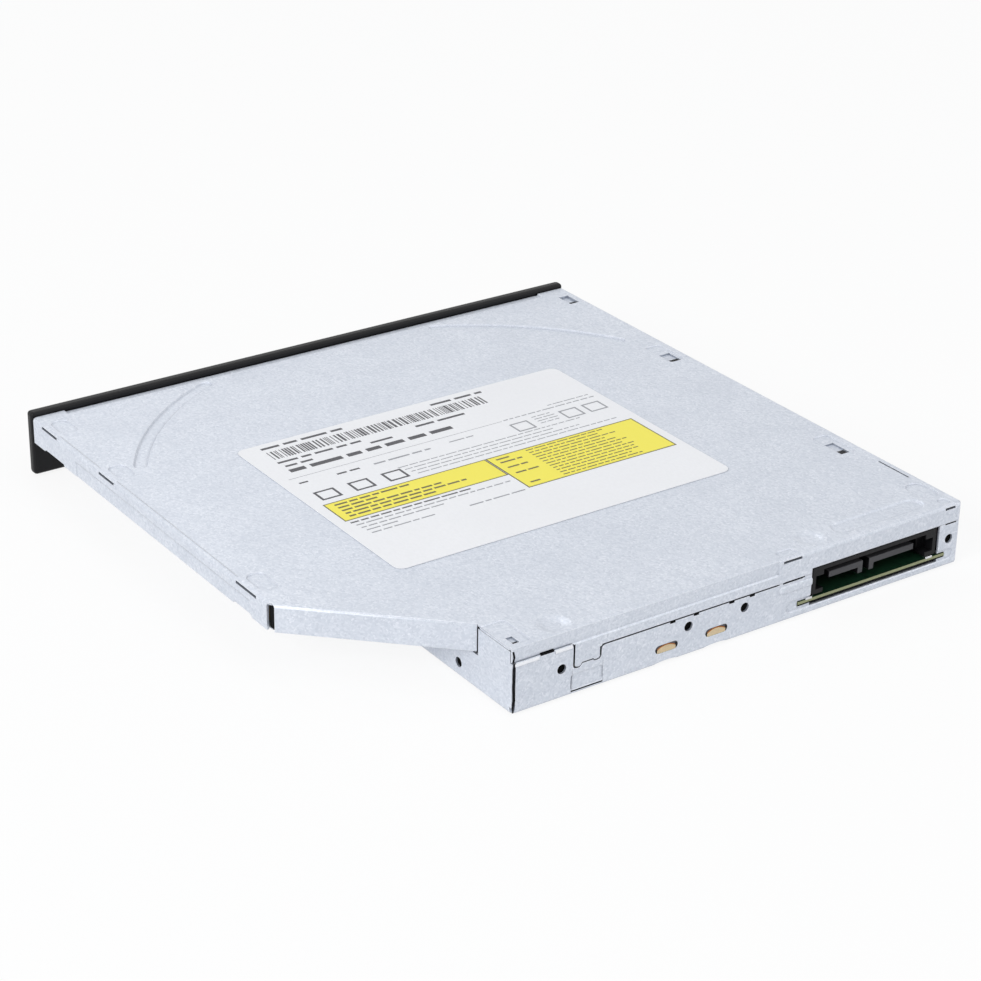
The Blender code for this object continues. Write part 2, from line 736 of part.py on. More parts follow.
def rear_seam(start_x, gap, hairline):
    """The cover's lower edge at the rear, from right to left; the gaps lower it to the case's."""
    right = TAB_RIGHT + gap
    left = TAB_RIGHT - TAB_WIDTH - gap
    corner = TOP - CORNER_LIP - hairline
    low = TOP - TAB_DROP - gap
    seam = TOP - REAR_LIP
    line = [(start_x, corner), (right, corner), (right, low), (TAB_RIGHT - 0.0012, low),
            (TAB_RIGHT - 0.0017, low + TAB_RISE), (TAB_RIGHT - 0.0040, low + TAB_RISE),
            (TAB_RIGHT - 0.0043, low + TAB_RISE / 2), (left, low + TAB_RISE / 2), (left, seam - gap)]
    if gap > hairline:
        line += [(SEAM_END, seam - gap), (SEAM_END, seam - hairline)]
    line += [(PORT_RIGHT, seam - hairline), (PORT_RIGHT, TOP - CONNECTOR_LIP - hairline),
             (LEFT + RELIEF, TOP - CONNECTOR_LIP - hairline)]
    return [(x, REAR, z) for x, z in rounded_corners(line, TAB_ROUND, (1, 2, 7, 8))]


def make_bottom_case():
    wall_top = TOP - SIDE_LIP - SEAM
    split = CORNER_Y_END - FLANGE_NOTCH
    front = FRONT
    back = REAR - RELIEF
    rear_x = (LEFT + RELIEF, STEP_X - RELIEF)
    tall_start = CORNER_Y_END + CORNER_SLIT
    tall_top = INNER_TOP - SEAT_GAP
    shelf_right = RIGHT - SHEET - SEAT_GAP
    shelf_inset = SHEET + SEAT_GAP
    floor = [(LEFT, front), (STEP_X, front)]
    floor += corner_notch((STEP_X, REAR), (0, 1), (-1, 0))
    floor += corner_notch((LEFT, REAR), (-1, 0), (0, -1))
    floor = [(x, y, 0) for x, y in floor]
    left_wall = [(LEFT, back, 0), (LEFT, front, 0), (LEFT, front, wall_top), (LEFT, back, wall_top)]
    rear_wall = [(rear_x[0], REAR, 0), (rear_x[1], REAR, 0)] + rear_seam(rear_x[1], SEAM, HAIRLINE)
    notch = SHELF_BOTTOM - RELIEF
    corner_top = TOP - CORNER_LIP - SEAM
    side_profile = [(back, 0), (front, 0), (front, SHELF_BOTTOM), (split, SHELF_BOTTOM), (split, notch),
                    (tall_start, notch), (tall_start, tall_top), (back, tall_top), (back, corner_top),
                    (REAR - CORNER_GAP, corner_top), (REAR - CORNER_GAP, BEND + RELIEF),
                    (back, BEND + RELIEF)]
    side_wall = [(STEP_X, y, z) for y, z in side_profile]
    shelf = [(STEP_X, split, SHELF_BOTTOM), (STEP_X, front, SHELF_BOTTOM),
             (shelf_right, front, SHELF_BOTTOM),
             (shelf_right, corner_line_y(shelf_right, shelf_inset), SHELF_BOTTOM),
             (STEP_X + BEND, corner_line_y(STEP_X + BEND, shelf_inset), SHELF_BOTTOM)]
    facing_out = [list(reversed(panel)) for panel in (floor, rear_wall, side_wall, shelf)]
    case = folded_sheet("bottom_case", [left_wall] + facing_out, STEEL)
    press_rear_wall(case)
    cut(case, block("port", (PORT_LEFT, PORT_RIGHT), (INNER_REAR - 0.001, REAR + 0.001),
                    (PORT_SILL, TOP - CONNECTOR_LIP + 0.0005)))
    foot_screws = [(LEFT + FOOT_SCREW_INSET, y) for y in FOOT_YS]
    cut(case, wall_openings(), countersinks("floor_countersinks", foot_screws, 0.0))
    cut(case, posts("floor_screw_holes", foot_screws, SCREW_CORE + SEAT_CLEARANCE, (0.0001, 0.001), 20))
    add_hole_collars(case)
    for opening in case_holes() + rear_arches():
        cut(case, opening)
    return case


def press_rear_wall(case):
    """The pan round the connector's foot, the flap below the tab, and the ridge beside the port."""
    def port_pan(grow):
        return rounded_rectangle((-PORT_RIGHT - PAN_RIGHT_REACH, PAN_LEFT_REACH - PORT_LEFT),
                                 (PORT_SILL - PAN_DROP, PORT_SILL + PAN_RISE), 0.0011, grow, 4)

    def flap(grow):
        return rounded_rectangle((-TAB_RIGHT - 0.0007, TAB_WIDTH + 0.0007 - TAB_RIGHT),
                                 (0.0009, 0.0040), 0.0006, grow, 3)

    at_rear = Matrix(((-1, 0, 0, 0), (0, 0, 1, REAR), (0, 1, 0, 0), (0, 0, 0, 1)))
    pressed(case, "rear_wall", [(port_pan, REAR_PAN_DEPTH, 0), (flap, CREASE_DEPTH, 0)], at_rear)
    ridge = bmesh.new()
    loops = []
    for height, growth in ((-SHEET / 2, 0.0), (0.0, 0.0), (0.6, -0.5), (1.0, -1.6)):
        proud = height * RIDGE_PROUD if height > 0 else height
        outline = rounded_rectangle((-SEAM_END, 0.0006 - PORT_RIGHT), around(RIDGE_Z, RIDGE_HEIGHT / 2),
                                    RIDGE_HEIGHT * 0.45, growth * RIDGE_PROUD, 4)
        loops.append([(x, z, proud) for x, z in outline])
    loft_through(ridge, loops, at_rear)
    join(case, object_from(ridge, "port_ridge"))


def wall_openings():
    """Slots in the rear wall: board ends, vents, seam slits, flap slit and corner slot."""
    wall = (INNER_REAR - 0.0010, REAR + 0.0010)
    board = (CONNECTOR_BOARD_BOTTOM - 0.00015, CONNECTOR_BOARD_BOTTOM + BOARD_THICKNESS + 0.00015)
    seam = TOP - REAR_LIP
    port_top = TOP - CONNECTOR_LIP
    openings = [((PORT_RIGHT - 0.0005, PORT_RIGHT + BOARD_SLOT_OVERLAP), wall, board),
                ((PORT_LEFT - BOARD_SLOT_LEFT, PORT_LEFT + 0.0005), wall, board),
                ((TAB_RIGHT - TAB_WIDTH - 0.0007, TAB_RIGHT + 0.0006), wall, (0.00055, 0.00085)),
                ((SEAM_END - 0.0055, SEAM_END - 0.0008), wall, (seam - 0.0003, seam)),
                ((LEFT + 0.00135, LEFT + 0.0041), wall, (port_top - 0.0003, port_top)),
                (CORNER_SLOT_X, wall, (TOP - CORNER_LIP - 0.00035, TOP - CORNER_LIP))]
    for x in VENT_XS:
        openings.append((around(x, 0.0006), wall, (seam - 0.0006, seam)))
    return blocks("rear_wall_openings", openings)


def rear_arches():
    """Shallow arches in the rear wall's lower edge, one below each window."""
    half = 0.0033
    rise = 0.0005
    radius = (half ** 2 + rise ** 2) / (2 * rise)
    reach = math.degrees(math.asin(half / radius))
    arches = []
    for index, x in enumerate(EYE_XS):
        arc = arc_points((x, rise - radius), radius, 90 - reach * 1.1, 2.2 * reach, 8)
        loop = arc + [(arc[-1][0], -0.001), (arc[0][0], -0.001)]
        arches.append(section_along_y("arch_%d" % (index + 1), loop, (INNER_REAR - 0.0008, REAR + 0.001)))
    return arches


def add_hole_collars(case):
    """The rims that are drawn inwards round the screw holes."""
    for index, x in enumerate(REAR_HOLES_X):
        join(case, bar("rear_collar_%d" % (index + 1), COLLAR_RADIUS,
                       (x, INNER_REAR - REAR_COLLAR, WALL_HOLE_Z), REAR_COLLAR + 0.0002, "Y", segments=16))
    join(case, bar("side_collar", COLLAR_RADIUS,
                   (STEP_X - SHEET - SIDE_COLLAR, REAR - SIDE_HOLE_INSET, SIDE_HOLE_Z),
                   SIDE_COLLAR + 0.0002, "X", segments=16))


def case_holes():
    holes = []
    for index, x in enumerate(REAR_HOLES_X):
        holes.append(bar("rear_hole_%d" % (index + 1), WALL_HOLE_RADIUS,
                         (x, INNER_REAR - 0.001, WALL_HOLE_Z), 0.003, "Y", segments=16))
    holes.append(bar("side_hole", WALL_HOLE_RADIUS,
                     (STEP_X - SHEET - 0.001, REAR - SIDE_HOLE_INSET, SIDE_HOLE_Z), 0.003, "X", segments=16))
    for index, x in enumerate(EYE_XS):
        loop = rounded_rectangle(around(x, EYE_LENGTH / 2), around(EYE_Z, EYE_HEIGHT / 2),
                                 EYE_HEIGHT * 0.48, count=3)
        holes.append(section_along_y("eye_%d" % (index + 1), loop, (INNER_REAR - 0.001, REAR + 0.001)))
    return holes


def countersinks(name, places, face):
    """Cone-shaped seats for flat screw heads, opening downwards at a face's height."""
    bm = bmesh.new()
    slope = (SCREW_HEAD - SCREW_CORE) / SHEET
    over = 0.0002
    wide = SCREW_HEAD + SEAT_CLEARANCE + slope * (over + SEAT_CLEARANCE)
    narrow = SCREW_CORE + SEAT_CLEARANCE
    depth = (wide - narrow) / slope
    for x, y in places:
        cone = Matrix.Translation((x, y, face - over + depth / 2))
        bmesh.ops.create_cone(bm, cap_ends=True, segments=20, radius1=wide, radius2=narrow,
                              depth=depth, matrix=cone)
    return object_from(bm, name)


def flat_screw(name, place, face, length, finish):
    """A countersunk screw driven upwards, its head just inside a face."""
    head = face + SEAT_CLEARANCE
    profile = [(0, head + length), (SCREW_CORE * 0.5, head + length),
               (SCREW_CORE, head + length - 0.0004), (SCREW_CORE, head + SHEET),
               (SCREW_HEAD, head), (0, head)]
    return turned(name, profile, place, finish, steps=16)


def make_case_screws():
    for index, y in enumerate(FOOT_YS):
        flat_screw("case_screw_%d" % (index + 1), (LEFT + FOOT_SCREW_INSET, y), 0.0, 0.0016,
                   BRIGHT_STEEL)


def make_top_cover():
    corner_along = (Vector((STEP_X, CORNER_Y_END)) - Vector((RIGHT, CORNER_Y_START))).normalized()
    slit = corner_notch((RIGHT, CORNER_Y_START), (0, 1), corner_along, CORNER_RELIEF)
    right_y = (FRONT, slit[0][1])
    left_y = (FRONT, REAR - RELIEF)
    lip_a = Vector(slit[2])
    lip_b = Vector((STEP_X, CORNER_Y_END))
    plane = [(LEFT, FRONT), (RIGHT, FRONT)] + slit + [tuple(lip_b), (STEP_X, REAR)]
    plane += corner_notch((LEFT, REAR), (-1, 0), (0, -1))
    roof = [(x, y, TOP) for x, y in plane]
    scallop = 0.0004
    right_flange = [(RIGHT, right_y[1], TOP), (RIGHT, right_y[0], TOP)]
    right_edge = [(right_y[0], FLANGE_BOTTOM), (SCALLOP_YS[0], FLANGE_BOTTOM),
                  (SCALLOP_YS[0] + scallop, FLANGE_BOTTOM + scallop),
                  (SCALLOP_YS[1] - scallop, FLANGE_BOTTOM + scallop), (SCALLOP_YS[1], FLANGE_BOTTOM),
                  (NOTCH_YS[0], FLANGE_BOTTOM), (NOTCH_YS[0] + scallop, FLANGE_BOTTOM + scallop),
                  (NOTCH_YS[1] - scallop, FLANGE_BOTTOM + scallop), (NOTCH_YS[1], FLANGE_BOTTOM),
                  (right_y[1], FLANGE_BOTTOM)]
    right_flange += [(RIGHT, y, z) for y, z in right_edge]
    corner_flange = [(lip_b.x, lip_b.y, TOP), (lip_a.x, lip_a.y, TOP),
                     (lip_a.x, lip_a.y, FLANGE_BOTTOM), (lip_b.x, lip_b.y, FLANGE_BOTTOM)]
    side_bottom = TOP - SIDE_LIP
    left_lip = [(LEFT, left_y[0], TOP), (LEFT, left_y[1], TOP), (LEFT, left_y[1], side_bottom),
                (LEFT, left_y[0], side_bottom)]
    rear_lip = [(LEFT + RELIEF, REAR, TOP), (STEP_X, REAR, TOP)] + rear_seam(STEP_X, 0.0, 0.0)
    cover = folded_sheet("top_cover", [roof, right_flange, corner_flange, left_lip, rear_lip], STEEL)
    press_cover(cover)
    press_cover_edges(cover)
    cut(cover, cover_openings())
    return cover


def press_cover(cover):
    """Beads round the disc, pads and domes."""
    def bead(start):
        return lambda grow: arc_band((0, 0), BEAD_RADIUS, BEAD_HALF_WIDTH, start, BEAD_SWEEP, grow)

    def dome(x, y):
        return lambda grow: arc_points((x, y), DOME_RADIUS + grow, 0, 360 * 15 / 16, 15)

    def pad(x, y, radius):
        return lambda grow: rounded_rectangle(x, y, radius, grow, 3)

    pressings = [(bead(-BEAD_START - BEAD_SWEEP), PRESS_DEPTH, 0),
                 (bead(180 + BEAD_START), PRESS_DEPTH, 0),
                 (pad((LEFT + 0.0066, LEFT + 0.0285), (REAR - 0.0065, REAR - 0.0020), 0.0022),
                  PRESS_DEPTH, SOFT_RUN),
                 (dome(STEP_X - 0.0108, REAR - 0.0035), PRESS_DEPTH, DOME_RUN),
                 (dome(PORT_RIGHT - 0.0025, REAR - 0.0042), PRESS_DEPTH, DOME_RUN)]
    flat = [pad((LEFT + 0.0018, LEFT + 0.0058), (FRONT + 0.03665, FRONT + 0.04565), 0.0010),
            pad((LEFT + 0.0018, LEFT + 0.0058), (REAR - 0.03635, REAR - 0.02735), 0.0010),
            pad((LEFT + 0.0012, LEFT + 0.0058), (REAR - 0.0110, REAR - 0.0040), 0.0022)]
    for y in BEND_SLOT_YS:
        flat.append(pad((RIGHT - 0.0052, RIGHT - 0.0014), y, 0.0015))
    for x in REAR_SLOT_XS:
        flat.append(pad(x, (REAR - 0.0032, REAR - 0.0008), 0.0010))
    pressings += [(outline, PAD_DEPTH, 0) for outline in flat]
    inner = ((LEFT + SHEET / 2, RIGHT - SHEET / 2), (FRONT + SHEET / 2, REAR - SHEET / 2))
    pressed(cover, "cover", pressings, Matrix.Translation((0, 0, TOP)), limits=inner)


def press_cover_edges(cover):
    """The stepped front edge, the corner recess, the rear lip's shoulder and the flange's crease."""
    def band(x, y):
        def outline(grow):
            x0, x1 = x[0] - grow, x[1] + grow
            y0, y1 = y[0] - grow, y[1] + grow
            return [(x0, y0), (x1, y0), (x1, y1), (x0, y1)]
        return outline

    def corner_pad(grow):
        return rounded_rectangle((STEP_X - 0.0047, STEP_X + 0.002), (CORNER_Y_END + 0.001, REAR - 0.0011),
                                 0.0008, grow, 3)

    at_top = Matrix.Translation((0, 0, TOP))
    at_right = Matrix(((0, 0, 1, RIGHT), (1, 0, 0, 0), (0, 1, 0, 0), (0, 0, 0, 1)))
    at_rear = Matrix(((-1, 0, 0, 0), (0, 0, 1, REAR), (0, 1, 0, 0), (0, 0, 0, 1)))
    step = band((LEFT + FRONT_STEP_MARGIN, RIGHT - FRONT_STEP_MARGIN), (FRONT - 0.001, FRONT + FRONT_STEP))
    pressed(cover, "front_step", [(step, PRESS_DEPTH, 0)], at_top, limits=((LEFT, RIGHT), (FRONT, REAR)))
    pressed(cover, "corner_pad", [(corner_pad, PAD_DEPTH, 0)], at_top,
            limits=((LEFT, STEP_X), (CORNER_Y_END, REAR - SHEET)))
    shoulder = band((-STEP_X - 0.001, -SEAM_END), (TOP - SHOULDER_DROP, TOP + 0.001))
    pressed(cover, "rear_shoulder", [(shoulder, SHOULDER_DEPTH, 0)], at_rear,
            limits=((SHEET + SEAT_GAP - STEP_X, RIGHT), (TOP - CORNER_LIP, TOP - SHEET / 2)))
    crease = band(CREASE_YS, (FLANGE_BOTTOM - 0.001, TOP - CREASE_DROP))
    pressed(cover, "flange_crease", [(crease, CREASE_DEPTH, 0)], at_right,
            limits=((FRONT, REAR), (FLANGE_BOTTOM + 0.0006, TOP)))


def cover_openings():
    """Slits at the right bend, holes over the left guide, and slots at the rear edge."""
    through = (INNER_TOP - 0.0008, TOP + 0.0005)
    slit = (TOP - 0.00095, TOP - 0.00045)
    openings = [((RIGHT - 0.0007, RIGHT + 0.0005), y, slit) for y in BEND_SLOT_YS]
    for x0, x1, y0, y1 in COVER_HOLES:
        openings.append(((LEFT + x0, LEFT + x1), (y0, y1), through))
    edge = (INNER_REAR - 0.0004, REAR + 0.0005)
    for x in REAR_SLOT_XS:
        openings.append((x, edge, (TOP - 0.0009, TOP - 0.00045)))
    openings.append(((STEP_X - 0.0026, STEP_X - 0.0013), (REAR - 0.0041, REAR - 0.0018), through))
    openings.append((CORNER_SLOT_X, edge, (TOP - CORNER_LIP - 0.0001, TOP - CORNER_LIP + 0.0002)))
    return blocks("cover_openings", openings)


def make_label():
    x = around(LABEL_CENTRE[0], LABEL_SIZE[0] / 2)
    y = around(LABEL_CENTRE[1], LABEL_SIZE[1] / 2)
    z = (TOP + 0.00002, TOP + 0.00002 + LABEL_THICKNESS)
    return plate("label", [rounded_rectangle(x, y, LABEL_CORNER)], z, PAPER)


def guide_section(side):
    """A channel open towards the tray; the side is 1 on the right and -1 on the left."""
    outer = RIGHT - SHEET - SEAT_GAP
    lip = TRAY_EDGE + RAIL_SIDE_GAP
    inner = outer - GUIDE_WALL
    low = GUIDE_BOTTOM
    top = GUIDE_TOP
    loop = [(outer, low), (outer, top), (lip, top), (lip, top - GUIDE_LIP), (inner, top - GUIDE_LIP),
            (inner, low + GUIDE_LIP), (lip, low + GUIDE_LIP), (lip, low)]
    return [(x * side, z) for x, z in loop]


def make_guides():
    section_along_y("right_guide", guide_section(1), (FRONT + 0.001, RIGHT_GUIDE_END), BEIGE_PLASTIC)
    guide = section_along_y("left_guide", guide_section(-1), (FRONT + 0.001, LEFT_GUIDE_END),
                            BEIGE_PLASTIC)
    outer = -(RIGHT - SHEET - SEAT_GAP)
    inner = -(TRAY_EDGE + RAIL_SIDE_GAP)
    floor = SHEET + SEAT_GAP
    legs = []
    feet = []
    for y in FOOT_YS:
        legs.append(((outer, inner), around(y, FOOT_LENGTH / 2), (floor, GUIDE_BOTTOM + 0.0001)))
        feet.append(((inner - 0.0005, outer + FOOT_REACH + GUIDE_WALL + 0.0018), around(y, FOOT_LENGTH / 2),
                     (floor, floor + FOOT_HEIGHT)))
    join(guide, blocks("guide_legs", legs), blocks("guide_feet", feet))
    cut(guide, posts("guide_screw_holes", [(LEFT + FOOT_SCREW_INSET, y) for y in FOOT_YS],
                     SCREW_CORE + SEAT_CLEARANCE, (0, floor + FOOT_HEIGHT + 0.001), 12))


def make_rail(name, side, y):
    outer = RAIL_OUTER
    lip = TRAY_EDGE + RAIL_SIDE_GAP
    low = GUIDE_BOTTOM + GUIDE_LIP + RUN_GAP
    top = GUIDE_TOP - GUIDE_LIP - RUN_GAP
    inner = outer - RAIL_SHEET
    loop = [(outer, low), (outer, top), (lip, top), (lip, top - RAIL_SHEET), (inner, top - RAIL_SHEET),
            (inner, low + RAIL_SHEET), (lip, low + RAIL_SHEET), (lip, low)]
    return section_along_y(name, [(x * side, z) for x, z in loop], y, BRIGHT_STEEL)


def make_lock_pin():
    floor = SHEET + SEAT_GAP
    profile = [(0, LOCK_PIN_TOP), (LOCK_PIN_RADIUS - 0.0003, LOCK_PIN_TOP),
               (LOCK_PIN_RADIUS, LOCK_PIN_TOP - 0.0004), (LOCK_PIN_RADIUS, floor + 0.0007),
               (LOCK_PIN_RADIUS * 1.6, floor + 0.0007), (LOCK_PIN_RADIUS * 1.6, floor), (0, floor)]
    return turned("lock_pin", profile, LOCK_PIN, BRIGHT_STEEL, steps=20)


def make_corner_stop():
    """A plastic post under the cover's corner recess, in the rear corner of the deep part."""
    x = (STEP_X - SHEET - SEAT_GAP - 0.0024, STEP_X - SHEET - SEAT_GAP)
    y = (REAR - 0.0085, INNER_REAR - SEAT_GAP)
    post = block("corner_stop", x, y, (SHEET + SEAT_GAP, INNER_TOP - PAD_DEPTH - SEAT_GAP), BEIGE_PLASTIC)
    foot = block("corner_stop_foot", (x[0] - 0.002, x[1]), (y[0] + 0.001, y[1]),
                 (SHEET + SEAT_GAP, SHEET + SEAT_GAP + 0.001))
    return join(post, foot)


# Rear boards and connector

def make_connector_board():
    z = (CONNECTOR_BOARD_BOTTOM, CONNECTOR_BOARD_BOTTOM + BOARD_THICKNESS)
    rear = INNER_REAR - SEAT_GAP - REAR_PAN_DEPTH
    edge = REAR - 0.00005
    port_edge = (CONNECTOR_BOARD_LEFT, PORT_RIGHT + BOARD_SLOT_OVERLAP - 0.0002)
    loop = [(CONNECTOR_BOARD_LEFT, CONNECTOR_BOARD_FRONT + 0.006),
            (PORT_RIGHT + 0.004, CONNECTOR_BOARD_FRONT + 0.006),
            (PORT_RIGHT + 0.006, CONNECTOR_BOARD_FRONT), (CONNECTOR_BOARD_RIGHT, CONNECTOR_BOARD_FRONT),
            (CONNECTOR_BOARD_RIGHT, rear)]
    for x in EYE_XS:
        half = EYE_LENGTH / 2 - 0.0006
        loop += [(x + half, rear), (x + half, edge), (x - half, edge), (x - half, rear)]
    loop += [(port_edge[1], rear), (port_edge[1], edge), (port_edge[0], edge)]
    return plate("connector_board", [loop], z, BOARD_GREEN)


def make_connector_housing():
    """Moulded body open to the rear, with one tongue for data and one for power."""
    x = (PORT_LEFT + 0.0005, PORT_RIGHT - 0.0005)
    y = (REAR - HOUSING_DEPTH, REAR - 0.0003)
    z = (CONNECTOR_BOARD_BOTTOM + BOARD_THICKNESS + SEAT_GAP, TOP - CONNECTOR_LIP - 0.00035)
    housing = block("connector_housing", x, y, z, BLACK_PLASTIC)
    inside = (x[0] + HOUSING_END, x[1] - HOUSING_END)
    back = y[0] + 0.0015
    hollow = blocks("housing_hollow", [(inside, (back, REAR + 0.001), (z[0] - 0.001, z[1] - HOUSING_WALL))])
    cut(housing, hollow)
    mouth_y = (y[1] - 0.0025, REAR + 0.001)
    mouth_z = (z[0] + 0.0009, z[1] - 0.0018)
    mouths = [((x[0] + 0.0008, inside[0] + 0.0002), mouth_y, mouth_z),
              ((inside[1] - 0.0002, x[1] - 0.0008), mouth_y, mouth_z)]
    cut(housing, blocks("housing_mouths", mouths))
    thickness = 0.0011
    tongue_rear = y[1] - 0.0008
    tongues = []
    for span in (DATA_TONGUE, POWER_TONGUE):
        tongues.append((span, (back - 0.0004, tongue_rear), around(TONGUE_Z, thickness / 2)))
    join(housing, blocks("tongues", tongues))
    keys = [((DATA_TONGUE[0] - 0.0005, DATA_TONGUE[0] + 0.0006), (back - 0.0004, tongue_rear),
             (z[0] + 0.0008, TONGUE_Z + thickness / 2)),
            ((POWER_TONGUE[1] - 0.0006, POWER_TONGUE[1] + 0.0005), (back - 0.0004, tongue_rear),
             (z[0] + 0.0008, TONGUE_Z + thickness / 2))]
    return join(housing, blocks("tongue_keys", keys))


def ribbon(centreline, thickness):
    """The outline of a thin strip seen from its edge."""
    above = []
    below = []
    last = len(centreline) - 1
    for index, (y, z) in enumerate(centreline):
        before = Vector(centreline[max(index - 1, 0)])
        after = Vector(centreline[min(index + 1, last)])
        along = (after - before).normalized()
        above.append((y - along.y * thickness / 2, z + along.x * thickness / 2))
        below.append((y + along.y * thickness / 2, z - along.x * thickness / 2))
    return above + list(reversed(below))


def make_flat_cable():
    """The cable lies on the floor, turns back on itself and runs under the tray."""
    half = CABLE_THICKNESS / 2
    low = CABLE_LOW + half
    high = CABLE_HIGH + half
    radius = (high - low) / 2
    rear_end = CONNECTOR_BOARD_FRONT + 0.0004
    bend = arc_points((CABLE_BEND_Y, low + radius), radius, 270, -180, 8)
    line = [(rear_end, low + 0.0006), (rear_end - 0.0012, low + 0.0005), (rear_end - 0.004, low)]
    line += bend
    line += [(TRAY_CONNECTOR_Y - 0.0045, high), (TRAY_CONNECTOR_Y - 0.0016, high + 0.00055),
             (TRAY_CONNECTOR_Y - 0.0003, high + 0.0006)]
    return section_along_x("flex_cable", ribbon(line, CABLE_THICKNESS), around(CABLE_X, CABLE_WIDTH / 2),
                           COPPER_FILM)


def make_flex_connector(name, y, z):
    x = around(CABLE_X, CABLE_WIDTH / 2 + 0.0012)
    return bevel(block(name, x, (y, y + FLEX_CONNECTOR_DEPTH), z, GREY_PLASTIC), 0.0001, 1)


# Tray

def tray_outline():
    rear = INNER_REAR - TRAY_REAR_GAP
    edge = TRAY_EDGE
    inset = SHEET + 0.001
    right = SKIRT_RIGHT
    notch = STOP_NOTCH_X
    return [(-edge, FRONT + 0.00005), (edge, FRONT + 0.00005), (edge, corner_line_y(edge, inset)),
            (right, corner_line_y(right, inset)), (right, STOP_NOTCH_Y), (notch, STOP_NOTCH_Y),
            (notch, rear), (-edge, rear)]


def make_tray():
    tray = plate("tray", [tray_outline()], (TRAY_UNDERSIDE, TRAY_TOP), BLACK_PLASTIC)
    reach = TRAY_EDGE + TONGUE_REACH
    low = GUIDE_BOTTOM + GUIDE_LIP + 2 * RUN_GAP + RAIL_SHEET
    tongue_z = (low, low + TONGUE_HEIGHT)
    tongues = [((TRAY_EDGE - 0.0012, reach), (FRONT + 0.0012, RIGHT_GUIDE_END - 0.0005), tongue_z),
               ((-reach, -TRAY_EDGE + 0.0012), (FRONT + 0.0012, LEFT_GUIDE_END - 0.0005), tongue_z)]
    join(tray, blocks("tray_tongues", tongues), tray_skirt())
    join(tray, tray_bosses())
    recess = posts("disc_recess", [(0, 0)], RECESS_RADIUS, (RECESS_FLOOR, TRAY_TOP + 0.001), 64)
    small = posts("small_disc_recess", [(0, 0)], SMALL_DISC_RADIUS,
                  (RECESS_FLOOR - SMALL_RECESS, RECESS_FLOOR + 0.001), 48)
    cut(tray, recess, small, deck_window(), tray_hollows(), tray_bores())
    return tray


def tray_skirt():
    """Walls under the tray floor round the deep part, clear of the connector and the lock pin."""
    top = TRAY_UNDERSIDE + 0.0002
    low = UNDERPLATE_TOP + SEAT_GAP
    high = CONNECTOR_BOARD_BOTTOM + BOARD_THICKNESS + 0.0004
    left = -TRAY_EDGE
    rear = INNER_REAR - TRAY_REAR_GAP
    front = FRONT + 0.00005
    inner = PORT_RIGHT + 0.0065
    outline = [(left, front), (SKIRT_RIGHT, front), (SKIRT_RIGHT, STOP_NOTCH_Y),
               (SKIRT_RIGHT - SKIRT, STOP_NOTCH_Y), (SKIRT_RIGHT - SKIRT, front + SKIRT),
               (left + SKIRT, front + SKIRT), (left + SKIRT, SKIRT_REAR_LEFT - SKIRT),
               (inner, SKIRT_REAR_LEFT - SKIRT), (inner, SKIRT_REAR_LEFT), (left, SKIRT_REAR_LEFT)]
    skirt = plate("tray_skirt", [outline], (low, top))
    back = plate("tray_skirt_back", [[
        (inner - SKIRT, SKIRT_REAR_LEFT - 0.0005), (inner, SKIRT_REAR_LEFT - 0.0005), (inner, rear - SKIRT),
        (PIN_CHANNEL_LEFT, rear - SKIRT), (PIN_CHANNEL_LEFT, rear), (inner - SKIRT, rear)]], (high, top))
    return join(skirt, back)


def tray_bosses():
    """Posts for the deck's rubber mounts, the underplate screws and the latch pivot."""
    top = TRAY_UNDERSIDE + 0.0002
    deck = posts("deck_bosses", deck_fixing_places(), 0.0022, (GROMMET_TOP + SEAT_GAP, top))
    plate_posts = posts("underplate_bosses", UNDERPLATE_SCREWS, 0.0020,
                        (UNDERPLATE_TOP + SEAT_GAP, top))
    pivot = posts("latch_pivot", [LATCH_PIVOT], 0.0011, (LATCH_Z - 0.0006, top))
    shoulder = posts("latch_shoulder", [LATCH_PIVOT], 0.0021,
                     (LATCH_Z + LATCH_SHEET + SEAT_GAP, top))
    join(deck, plate_posts)
    join(deck, join(pivot, shoulder))
    return deck


def tray_bores():
    bores = posts("deck_screw_bores", deck_fixing_places(), DECK_SCREW_RADIUS + 0.00012,
                  (GROMMET_TOP - 0.001, TRAY_UNDERSIDE - 0.0006), 16)
    return join(bores, posts("underplate_screw_bores", UNDERPLATE_SCREWS, SCREW_CORE + 0.00012,
                             (UNDERPLATE_BOTTOM, UNDERPLATE_TOP + 0.0032), 16))


def deck_outline(inset=0.0):
    """The deck's outline in its own frame: X along the sled's travel."""
    back = DECK_BACK + inset
    front = DECK_FRONT - inset
    half = DECK_HALF_WIDTH - inset
    nose = DECK_NOSE
    slope = inset * (math.sqrt(2) - 1)
    return [(back, -half), (front - nose + inset - slope, -half),
            (front, -half + nose - inset + slope), (front, half - nose + inset - slope),
            (front - nose + inset - slope, half), (back, half)]


def to_deck(obj):
    """Turns a piece drawn in the deck's frame into the drive's frame."""
    obj.parent = deck_axis
    return obj


def deck_place(s, v):
    angle = math.radians(DECK_ANGLE)
    return (s * math.cos(angle) - v * math.sin(angle), s * math.sin(angle) + v * math.cos(angle))


def deck_fixing_places():
    return [deck_place(s, v) for s, v in DECK_FIXINGS]


